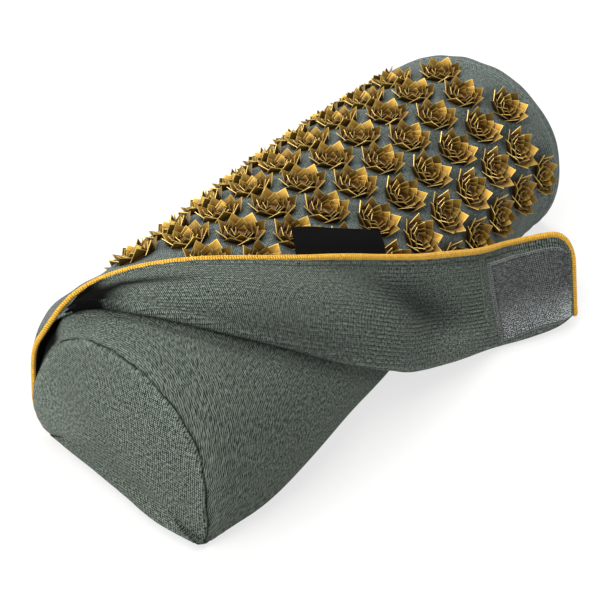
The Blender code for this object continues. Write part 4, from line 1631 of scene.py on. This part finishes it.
@dataclass
class LooseEnd:
    """The wrap's loose end, turned over so that its lining shows, with its tab, patch and hem.

    Its grid has so many points over the top, round the fold and under it. A hinge is its point, its way
    across the cloth, and how far the bend reaches before and after it. The patch is its first and last
    place, then its shares from the piped edge.
    """

    cloth: Cloth = LINING_RIB
    thickness: float = 0.0018
    piping: float = 0.0045
    lower_lift: float = 0.0022
    over: int = 46
    round: int = 9
    under: int = 26
    hem_at: float = 6.86
    lap: float = 0.03
    seam_down: float = 0.0052
    flap_hinge: tuple = ((-0.0428, -0.1020, 0.0680), (0.764, -0.509, -0.395), 0.018, 0.018)
    tab_hinge: tuple = ((0.0437, -0.1207, 0.0354), (0.824, -0.559, -0.094), 0.0045, 0.012)
    patch: tuple = (7.04, 9.55, 0.14, 0.965)

    def lift(self, place: Array, share: Array, length: Array) -> Array:
        """The lining's own hollows, pleats and seam puckers.

        Args:
            place: where along the loose end.
            share: how far from the piped edge to the fold.
            length: the cloth's width there.
        Returns:
            How far the cloth stands off its smooth form.
        """
        down = share * length
        seam = -0.0006 * hump(down, self.seam_down, 0.0010)
        pucker = np.sin(FULL_TURN * place * 4.3 + wander(place * 0.04, down, 0.05, 3))
        pucker = 0.00022 * pucker * np.exp(-down / 0.012)
        roll = 0.0062 * hump(share, 0.50, 0.27) * hump(place, 2.5, 1.7)
        middle = np.clip(0.22 + 0.2 * (place - 4.2), 0.15, 0.62)
        hollow = -0.0062 * hump(place, 5.3, 1.0) * hump(share, middle, 0.17)
        dip = -0.0022 * hump(place, 3.8, 0.7) * hump(share, 0.14, 0.10)
        band = 0.0028 * hump(place, 6.1, 0.6) * hump(share, 0.84, 0.10)
        sewn_on = mix(1.0, ease(down, 0.0, 0.005), ease(place, 0.45, 0.9))
        sunk = -0.0030 * (1 - ease(place, 0.1, 1.2) + self.valley(place, share)) * sewn_on
        pleat = -0.0018 * hump(share, 0.42, 0.11) * hump(place, 1.45, 0.45)
        soft = 0.0005 * wander(place * 0.04, down, 0.045, 6) * ease(down, 0.004, 0.015)
        return seam + pucker + roll + hollow + dip + band + sunk + pleat + soft

    def valley(self, place: Array, share: Array) -> Array:
        """How far into the valley behind the rim piping a point lies, from 0 to 1."""
        reach = np.interp(place, (0.0, 0.5, 0.8, 1.1, 1.7), (1.20, 1.15, 0.78, 0.46, 0.34))
        return (1 - ease(share, reach - 0.24, reach + 0.10)) * (1 - ease(place, 0.9, 1.8))

    def gloom(self, place: Array, share: Array) -> Array:
        """How much painted shade darkens the cloth in that valley and in the pleat that runs out of it.

        Args:
            place: where along the loose end.
            share: how far from the piped edge to the fold.
        Returns:
            The painted shade, from 0 to 1.
        """
        wide = np.interp(place, (0.5, 0.8, 1.0, 1.3, 1.8), (1.2, 0.62, 0.30, 0.12, 0.08))
        strong = np.interp(place, (0.9, 1.3, 1.8, 2.2), (1.0, 0.95, 0.5, 0.0))
        deep = 0.99 * self.valley(place, share) * (1 - ease(place, 0.75, 1.2))
        return np.maximum(1 - (1 - deep) ** 2, hump(share, 0.42, wide) * strong)

    def upper(self, place: Array, share: Array) -> Array:
        """Points of the lining's middle, with its hollows and pleats.

        Args:
            place: where along the loose end.
            share: how far from the piped edge to the fold.
        Returns:
            The points.
        """
        out = LAY.frame(place)[2]
        length = np.linalg.norm(LAY.spot(LAY.edge(place)) - LAY.spot(LAY.fold(place)), axis=-1)
        fade = 1 - ease(share, 0.85, 0.97)
        return LAY.upper(place, share) + out * (self.lift(place, share, length) * fade)[..., None]

    def grid(self, places: Array) -> Array:
        """The cloth from the piping over its fold and back under, row by row.

        Args:
            places: where along the loose end its rows lie.
        Returns:
            The grid of points.
        """
        tip, toward, out = LAY.frame(places)
        length = np.linalg.norm(LAY.spot(LAY.edge(places)) - tip, axis=-1)
        radius = LAY.fold_radius
        last = 1 - radius / length
        shares = mix((0.0012 / length)[:, None], last[:, None], np.linspace(0, 1, self.over) ** 1.15)
        rows = np.repeat(places[:, None], self.over, 1)
        top = self.upper(rows, shares)
        centre = tip + toward * radius
        arc = [centre + (out * math.cos(a) - toward * math.sin(a)) * radius
               for a in np.linspace(0, math.pi, self.round + 2)[1:-1]]
        joined = 1 - ease(places, 4.86, 5.25)
        free_to = mix(0.72, 0.80, ease(places, 6.6, 7.0))
        lower_to = mix(free_to, LAY.wrap_share + 0.0020 / length, joined)
        shares = mix(last[:, None], lower_to[:, None], np.linspace(0, 1, self.under))
        rows = np.repeat(places[:, None], self.under, 1)
        edge, fold = LAY.edge(rows), LAY.fold(rows)
        sewn = mix(edge, fold, shares[..., None])
        reach = (last[:, None] - shares) / (last - lower_to)[:, None]
        sewn[..., 2] = mix(fold[..., 2] - radius, self.lower_lift, ease(reach))
        under = np.minimum(self.lift(rows, shares, length[:, None]), 0) * (1 - ease(shares, 0.85, 0.97))
        hung = LAY.lie(rows, shares) + out[:, None] * (under - radius)[..., None]
        low = mix(hung, LAY.spot(sewn), joined[:, None, None])
        return np.concatenate([top, np.stack(arc, 1), low], 1)

    def bend(self, piece: Piece) -> None:
        """Bakes the piece's placement into its mesh."""
        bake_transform(piece)

    def sheet(self, name: str, places: Array) -> Piece:
        """Makes one sheet of the loose end over these places, and says what cloth it takes.

        Args:
            name: the piece's name.
            places: where its rows lie.
        Returns:
            The sheet.
        """
        grid = self.grid(places)
        down = walked(grid, 1)
        column = np.arange(grid.shape[1])[None]
        # Paler round the fold, and painted light on the band near the hem.
        wear_and_painted_light = 0.9 * hump(column, self.over + 4, 5.0) * np.ones(grid.shape[0])[:, None]
        wear_and_painted_light += 1.1 * hump(places[:, None], 6.15, 0.5) * hump(column, self.over - 9, 6.0)
        # A dark seam line below the piping, partly painted shade in its groove.
        seam = 0.55 * hump(down, 0.0050, 0.0009)
        shares = np.minimum(down / down[:, self.over - 1:self.over], 1)
        at = places[:, None]
        # Painted shade in the valley and pleat at the flap's root, in its hollow and along its lower fold.
        shade = self.gloom(at, shares)
        middle = np.clip(0.24 + 0.2 * (at - 4.2), 0.15, 0.66)
        shade += 0.62 * hump(at, 5.2, 1.2) * hump(shares, middle, 0.20)
        shade += 0.40 * hump(at, 2.6, 1.4) * ease(shares, 0.66, 0.96)
        seam = np.maximum(seam, shade)
        half = self.thickness / 2
        piece = slab(name, grid, -half, half, self.cloth.material(), {"wear_and_painted_light": wear_and_painted_light, "seam": seam})
        return piece

    def build_flap(self) -> Piece:
        """Builds the turned-over cloth as far as the hem.

        Returns:
            The flap.
        """
        places = np.linspace(0, self.hem_at + self.lap, 190)
        piece = self.sheet("turned_flap_cloth", places)
        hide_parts("flap_near", "flap_far")
        self.bend(piece)
        return piece

    def build_tab(self) -> Piece:
        """Builds the end tab that carries the hook patch.

        Returns:
            The tab.
        """
        places = np.linspace(self.hem_at, LAY.last, 100)
        piece = self.sheet("end_tab_cloth", places)
        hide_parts("tab_cloth")
        self.bend(piece)
        return piece

    def surface(self, places: Array, shares: Array) -> Array:
        """A grid of points on the lining's middle."""
        rows, columns = np.meshgrid(places, shares, indexing="ij")
        return self.upper(rows, columns)

    def build_hem(self) -> Piece:
        """Builds the narrow folded hem where the tab is sewn on.

        Returns:
            The hem.
        """
        grid = self.surface(np.linspace(self.hem_at - 0.06, self.hem_at + 0.10, 12),
                            np.linspace(0.055, 0.94, 70))
        fold = 0.0004 * hump(np.linspace(-1, 1, 12), 0, 0.6)[:, None]
        piece = slab("tab_hem", grid, self.thickness / 2 - 0.0002, self.thickness / 2 + 0.0007 + fold,
                     self.cloth.material())
        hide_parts("hem_strip")
        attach(piece, "flap")
        return piece

    def build_patch(self) -> Piece:
        """Builds the hook patch's tape, with its flat sewn border.

        Returns:
            The tape.
        """
        first, last, top, bottom = self.patch
        grid = self.surface(np.linspace(first, last, 60), np.linspace(top, bottom, 60))
        a, b = np.meshgrid(np.linspace(0, 1, 60), np.linspace(0, 1, 60), indexing="ij")
        edge = np.minimum(np.minimum(a, 1 - a), np.minimum(b, 1 - b)) * 0.058
        high = self.thickness / 2 + 0.0003
        high = high + 0.0008 * ease(edge, 0.0, 0.0008) + 0.0004 * ease(edge, 0.003, 0.004)
        piece = slab("hook_patch_tape", grid, self.thickness / 2, high, HOOK_TAPE.material(),
                     {"wear_and_painted_light": 0.35 * (1 - ease(edge, 0.001, 0.004)), "seam": 0.6 * hump(edge, 0.0032, 0.0005)})
        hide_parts("hook_patch")
        self.bend(piece)
        return piece

    def build_hooks(self) -> Piece:
        """Plants the patch's hooks in rows.

        Returns:
            The hooks, as one piece.
        """
        first, last, top, bottom = self.patch
        places = np.linspace(first + 0.12, last - 0.10, 46)
        shares = np.linspace(top + 0.04, bottom - 0.035, 50)
        grid = self.surface(places, shares)
        out = grid_normals(grid)
        points = (grid + out * (self.thickness / 2 + 0.0014)).reshape(-1, 3)
        ahead = np.gradient(grid, axis=0).reshape(-1, 3)
        rng = np.random.default_rng(12)
        points = points + rng.normal(0, 0.00018, points.shape)
        mesh = points_mesh("hook_points", points, facing(ahead, out.reshape(-1, 3)))
        low = np.tile(np.linspace(0, 1, len(shares)), (len(places), 1))
        # Darker toward the patch's top and paler toward its bottom, with a random spread from hook to hook.
        pale = mix(-2.2, 5.6, ease(low, 0.35, 1.0)) + rng.normal(0, 1.4, low.shape)
        paint(mesh, "wear_and_painted_light", pale)
        piece = grow("hook_rows", mesh, self.hook_tree(), {"Finish": HOOKS.material()}, smooth=True)
        self.bend(piece)
        return piece

    def hook_tree(self) -> Tree:
        """One bent hook on each point.

        Returns:
            A tree with the hook's height and thickness, how far it leans, its seed and its finish.
        """
        tree, given, out = nodes_tree("hook_field", {
            "Height": (FLOAT, 0.0013), "Thickness": (FLOAT, 0.00042),
            "Lean": (FLOAT, 0.5), "Seed": (WHOLE, 6), "Finish": ("NodeSocketMaterial", None)})
        cone = put(tree, "GeometryNodeMeshCone", {"Vertices": 4, "Side Segments": 2, "Radius Top": 0.35,
                                                  "Radius Bottom": 0.6, "Depth": 1.0})
        size = vector(tree, x=given["Thickness"], y=given["Thickness"], z=given["Height"])
        hook = put(tree, "GeometryNodeTransform", {"Geometry": cone.outputs[0], "Scale": size})
        sway = put(tree, "FunctionNodeRandomValue", {"Seed": given["Seed"], 0: (-1, -1, -1), 1: (1, 1, 1)},
                   data_type="FLOAT_VECTOR")
        plant(tree, given, out, hook.outputs[0], scaled(tree, sway.outputs[0], given["Lean"]))
        return tree

    def sew(self, tree: Tree, name: str, places: Array, shares: Array, stand: float, pitch: float,
            thread: Material) -> Piece:
        """Runs a line of stitches over the lining.

        Args:
            tree: the stitch tree.
            name: the piece's name.
            places: the line's places along the loose end.
            shares: its shares from the piped edge to the fold.
            stand: how far the thread stands off the cloth's middle.
            pitch: the distance from stitch to stitch.
            thread: the finish.
        Returns:
            The stitches.
        """
        step = 0.004
        at = self.upper(places, shares)
        out = unit(np.cross(self.upper(places, shares + step) - at,
                            self.upper(np.minimum(places + step, LAY.last - 0.001), shares) - at
                            + 1e-9 * LAY.frame(places)[1]))
        line = at + out * stand
        spots = respace(line, pitch)
        gone = walked(line)
        ups = np.stack([np.interp(walked(spots), gone, out[:, k]) for k in range(3)], -1)
        mesh = points_mesh(name + "_points", spots, facing(np.gradient(spots, axis=0), ups))
        return grow(name, mesh, tree, {"Stitch Length": pitch * 0.72, "Finish": thread}, smooth=True)

    def build_stitches(self, tree: Tree) -> list[Piece]:
        """Sews the lines that show: below the piping, round the patch and along the hem.

        Args:
            tree: the stitch tree.
        Returns:
            The lines of stitches.
        """
        thread = DARK_THREAD.material()
        top = self.thickness / 2
        made = []
        places = np.linspace(0.05, self.hem_at - 0.05, 400)
        length = np.linalg.norm(LAY.spot(LAY.edge(places)) - LAY.frame(places)[0], axis=-1)
        piece = self.sew(tree, "stitches_below_piping", places, self.seam_down / length, top - 0.0002,
                         0.0030, thread)
        self.bend(piece)
        made.append(piece)
        first, last, low, high = self.patch
        inset_p, inset_s = 0.13, 0.045
        for name, line_p, line_s in (
                ("top", (first + inset_p, last - inset_p), (low + inset_s,) * 2),
                ("bottom", (first + inset_p, last - inset_p), (high - inset_s,) * 2),
                ("near", (first + inset_p,) * 2, (low + inset_s, high - inset_s)),
                ("far", (last - inset_p,) * 2, (low + inset_s, high - inset_s))):
            piece = self.sew(tree, f"patch_stitches_{name}", np.linspace(*line_p, 60),
                             np.linspace(*line_s, 60), top + 0.0013, 0.0026, thread)
            self.bend(piece)
            made.append(piece)
        piece = self.sew(tree, "hem_stitches", np.full(60, self.hem_at + 0.02), np.linspace(0.07, 0.92, 60),
                         top + 0.0010, 0.0028, thread)
        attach(piece, "flap")
        made.append(piece)
        return made


@dataclass
class Piping:
    """The amber piping round the wrap's near rim and along the loose end."""

    cloth: Cloth = PIPING_TWILL
    thickness: float = 0.0045
    seam: float = 0.0007
    gap: float = 0.0003
    bend_at: float = 4.3
    hem_at: float = 6.8
    tip_at: float = 9.86
    pitch: float = 0.0018
    softened: int = 90
    slim: float = 0.76

    def rim_path(self, wrap: Wrap) -> Array:
        """The piping's way round the near rim, from under the base to the loose end's edge.

        Args:
            wrap: the wrap that it edges.
        Returns:
            The points of its middle line.
        """
        turns = np.concatenate([np.arange(-1, -0.401, 0.1), [-0.43]])
        place = wrap.rim(turns) - self.thickness / 2 - self.seam
        rim = FORM.point(place, turns, wrap.top / 2 + wrap.flare(place, turns))
        rim[:, 2] = np.maximum(rim[:, 2], self.thickness / 2 + self.gap)
        front, back = FORM.point(wrap.rim(1.0), 1.0), FORM.point(wrap.rim(1.0), -1.0)
        foot = mix(front, back, np.array((0.06, 0.2, 0.35, 0.5, 0.65, 0.8, 0.92))[:, None])
        foot[:, 0] += np.array((0.008, 0.008, 0.008, 0.0075, 0.0065, 0.0045, 0.0020))
        foot[:, 0] -= self.thickness / 2 + self.seam
        foot[:, 2] = self.thickness / 2 + self.gap
        return np.concatenate([foot, rim[np.argsort(turns)]])

    def build(self, wrap: Wrap, end: LooseEnd) -> list[Piece]:
        """Builds the piping in three lengths, one for each part of the wrap that moves.

        Args:
            wrap: the wrap that it edges.
            end: the loose end that it edges.
        Returns:
            The three lengths.
        """
        near = LAY.spot(LAY.edge(np.linspace(0, self.bend_at, 60)))
        first = np.concatenate([smooth_line(self.rim_path(wrap), 6), near])
        middle = LAY.spot(LAY.edge(np.linspace(self.bend_at, self.hem_at, 70)))
        side = unit(LAY.spot(LAY.fold(LAY.last)) - LAY.spot(LAY.fold(LAY.last - 0.5)))
        down = end.upper(np.full(26, LAY.last), np.linspace(0.02, 0.985, 26))
        down = down + side * (self.thickness / 2 + self.gap)
        tab = np.concatenate([LAY.spot(LAY.edge(np.linspace(self.hem_at, self.tip_at, 70))), down[2:]])
        made = []
        material = self.cloth.material()
        names = ("rim_piping", "flap_edge_piping", "tab_edge_piping")
        for name, path in zip(names, (first, middle, tab)):
            line = respace(path, self.pitch)
            eased = 0.5 + 0.5 * hump(np.linalg.norm(line - near[0], axis=1), 0, 0.026)[1:-1, None]
            for step in range(self.softened):
                soft = 0.5 * (line[:-2] + line[2:]) - line[1:-1]
                line[1:-1] += 0.5 * soft * (eased if step < 3 else np.maximum(2 * eased - 1, 0))
            gone = walked(line)
            slim = 1.0
            if name == "rim_piping":
                start = gone[np.argmin(np.linalg.norm(line - near[0], axis=1))]
                slim = mix(self.slim, 1.0, ease(gone - start, 0.02, 0.08))
            made.append(tube(name, line, slim * self.thickness / 2, material))
        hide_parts("wrap_piping")
        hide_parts("flap_piping")
        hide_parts("tab_piping")
        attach(made[0], "cushion")
        end.bend(made[1])
        end.bend(made[2])
        return made


@dataclass
class Label:
    """The bare woven label, sewn into the piping seam and lying on the spikes."""

    cloth: Cloth = LABEL_SATIN
    thickness: float = 0.0008
    first: float = 3.30
    last: float = 4.58
    top_edge: tuple = ((-0.0712, 0.1135), (-0.0249, 0.2933))

    def build(self) -> Piece:
        """Builds the label, softly bent over the rosettes' tips.

        Returns:
            The label.
        """
        share = np.linspace(0, 1, 60)
        low = LAY.edge(mix(self.first, self.last, share))
        high = mix(np.array(self.top_edge[0]), np.array(self.top_edge[1]), share[:, None])
        wide = np.linspace(0.06, 1, 26)[None]
        station = mix(low[:, None, :2], high[:, None], wide[..., None])
        lift = (LAY.over_spikes + 0.0006 + 0.0009 * hump(wide, 0.5, 0.35)
                + 0.0005 * np.sin(share * 9.0)[:, None])
        grid = FORM.point(station[..., 0], station[..., 1], lift)
        piece = slab("bare_label", grid, -self.thickness / 2, self.thickness / 2, self.cloth.material())
        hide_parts("label")
        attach(piece, "cushion")
        return piece


@dataclass
class Studio:
    """The pale floor, the soft lights and the camera."""

    eye: tuple = (-0.72201, -0.40804, 0.59344)
    right: tuple = (0.51203, -0.85860, 0.02507)
    up: tuple = (0.48118, 0.31089, 0.81964)
    forward: tuple = (0.71154, 0.40762, -0.57233)
    lens: float = 85.18
    floor: float = 6.0
    air: float = 0.20
    lamps: tuple = (("key", (-0.70, 0.10, 1.25), 1.0, 20.0), ("back", (0.65, 0.60, 1.25), 1.0, 20.0),
                    ("fill", (-1.3, 0.45, 0.35), 0.9, 11.0), ("side", (0.75, -1.05, 0.40), 0.9, 6.0))

    def build_floor(self) -> None:
        """Lays the floor."""
        mesh = bpy.data.meshes.new("studio_floor")
        corners = ((-1, -1), (1, -1), (1, 1), (-1, 1))
        mesh.from_pydata([(self.floor * x, self.floor * y, -0.0004) for x, y in corners], [], [(0, 1, 2, 3)])
        mesh.materials.append(Paper().material())
        floor = show("studio_floor", mesh)

    def build_lights(self) -> None:
        """Hangs the lamps and sets the world's even light."""
        for name, at, size, power in self.lamps:
            lamp = bpy.data.lights.new(name, "AREA")
            lamp.energy, lamp.size = power, size
            lamp.color = (1.0, 0.985, 0.96)
            hung = show(name, lamp)
            hung.location = at
            hung.rotation_euler = (Vector((0, 0, 0.05)) - Vector(at)).to_track_quat("-Z", "Y").to_euler()
        world = bpy.data.worlds.new("studio_air")
        bpy.context.scene.world = world
        world.use_nodes = True
        tree = world.node_tree
        light = tree.nodes["Background"]
        set_plain(light, {"Color": (1.0, 1.0, 1.0, 1.0), "Strength": self.air})
        white = put(tree, "ShaderNodeBackground", {"Color": (1, 1, 1, 1), "Strength": 1.0})
        rays = put(tree, "ShaderNodeLightPath")
        seen = maths(tree, "MAXIMUM", rays.outputs["Is Camera Ray"], rays.outputs["Is Transmission Ray"])
        both = put(tree, "ShaderNodeMixShader", {0: seen, 1: light.outputs[0], 2: white.outputs[0]})
        tree.links.new(both.outputs[0], tree.nodes["World Output"].inputs["Surface"])

    def build_camera(self) -> None:
        """Sets the camera at the photograph's angle."""
        lens = bpy.data.cameras.new("camera")
        lens.lens, lens.sensor_width = self.lens, 36.0
        lens.clip_start, lens.clip_end = 0.01, 50.0
        camera = show("camera", lens)
        axes = Matrix((self.right, self.up, [-v for v in self.forward])).transposed().to_4x4()
        camera.matrix_world = Matrix.Translation(self.eye) @ axes
        bpy.context.scene.camera = camera

    def build(self) -> None:
        """Sets the whole studio up."""
        self.build_floor()
        self.build_lights()
        self.build_camera()
        bpy.context.scene.view_settings.view_transform = "Standard"


def main() -> None:
    """Builds the cushion's pieces in order, then the studio."""
    logging.basicConfig(level=logging.INFO, format="%(name)s: %(message)s")
    rosettes = Rosettes()
    feet = np.array([spot for n in range(1, rosettes.rows + 1) for spot in rosettes.places(n)])
    cushion = InnerCushion().build()
    wrap = Wrap()
    panel = wrap.build_panel(feet)
    pieces = [cushion, panel, wrap.build_far_end(), wrap.build_base(), wrap.build_loop_patch()]
    pieces += rosettes.build()
    end = LooseEnd()
    pieces += [end.build_flap(), end.build_tab(), end.build_hem(), end.build_patch(), end.build_hooks()]
    pieces += end.build_stitches(stitch_tree())
    pieces += Piping().build(wrap, end)
    pieces.append(Label().build())
    for piece in pieces:
        log.info("%s: %d faces", piece.name, len(piece.data.polygons))
    Studio().build()


if __name__ == "__main__":
    main()
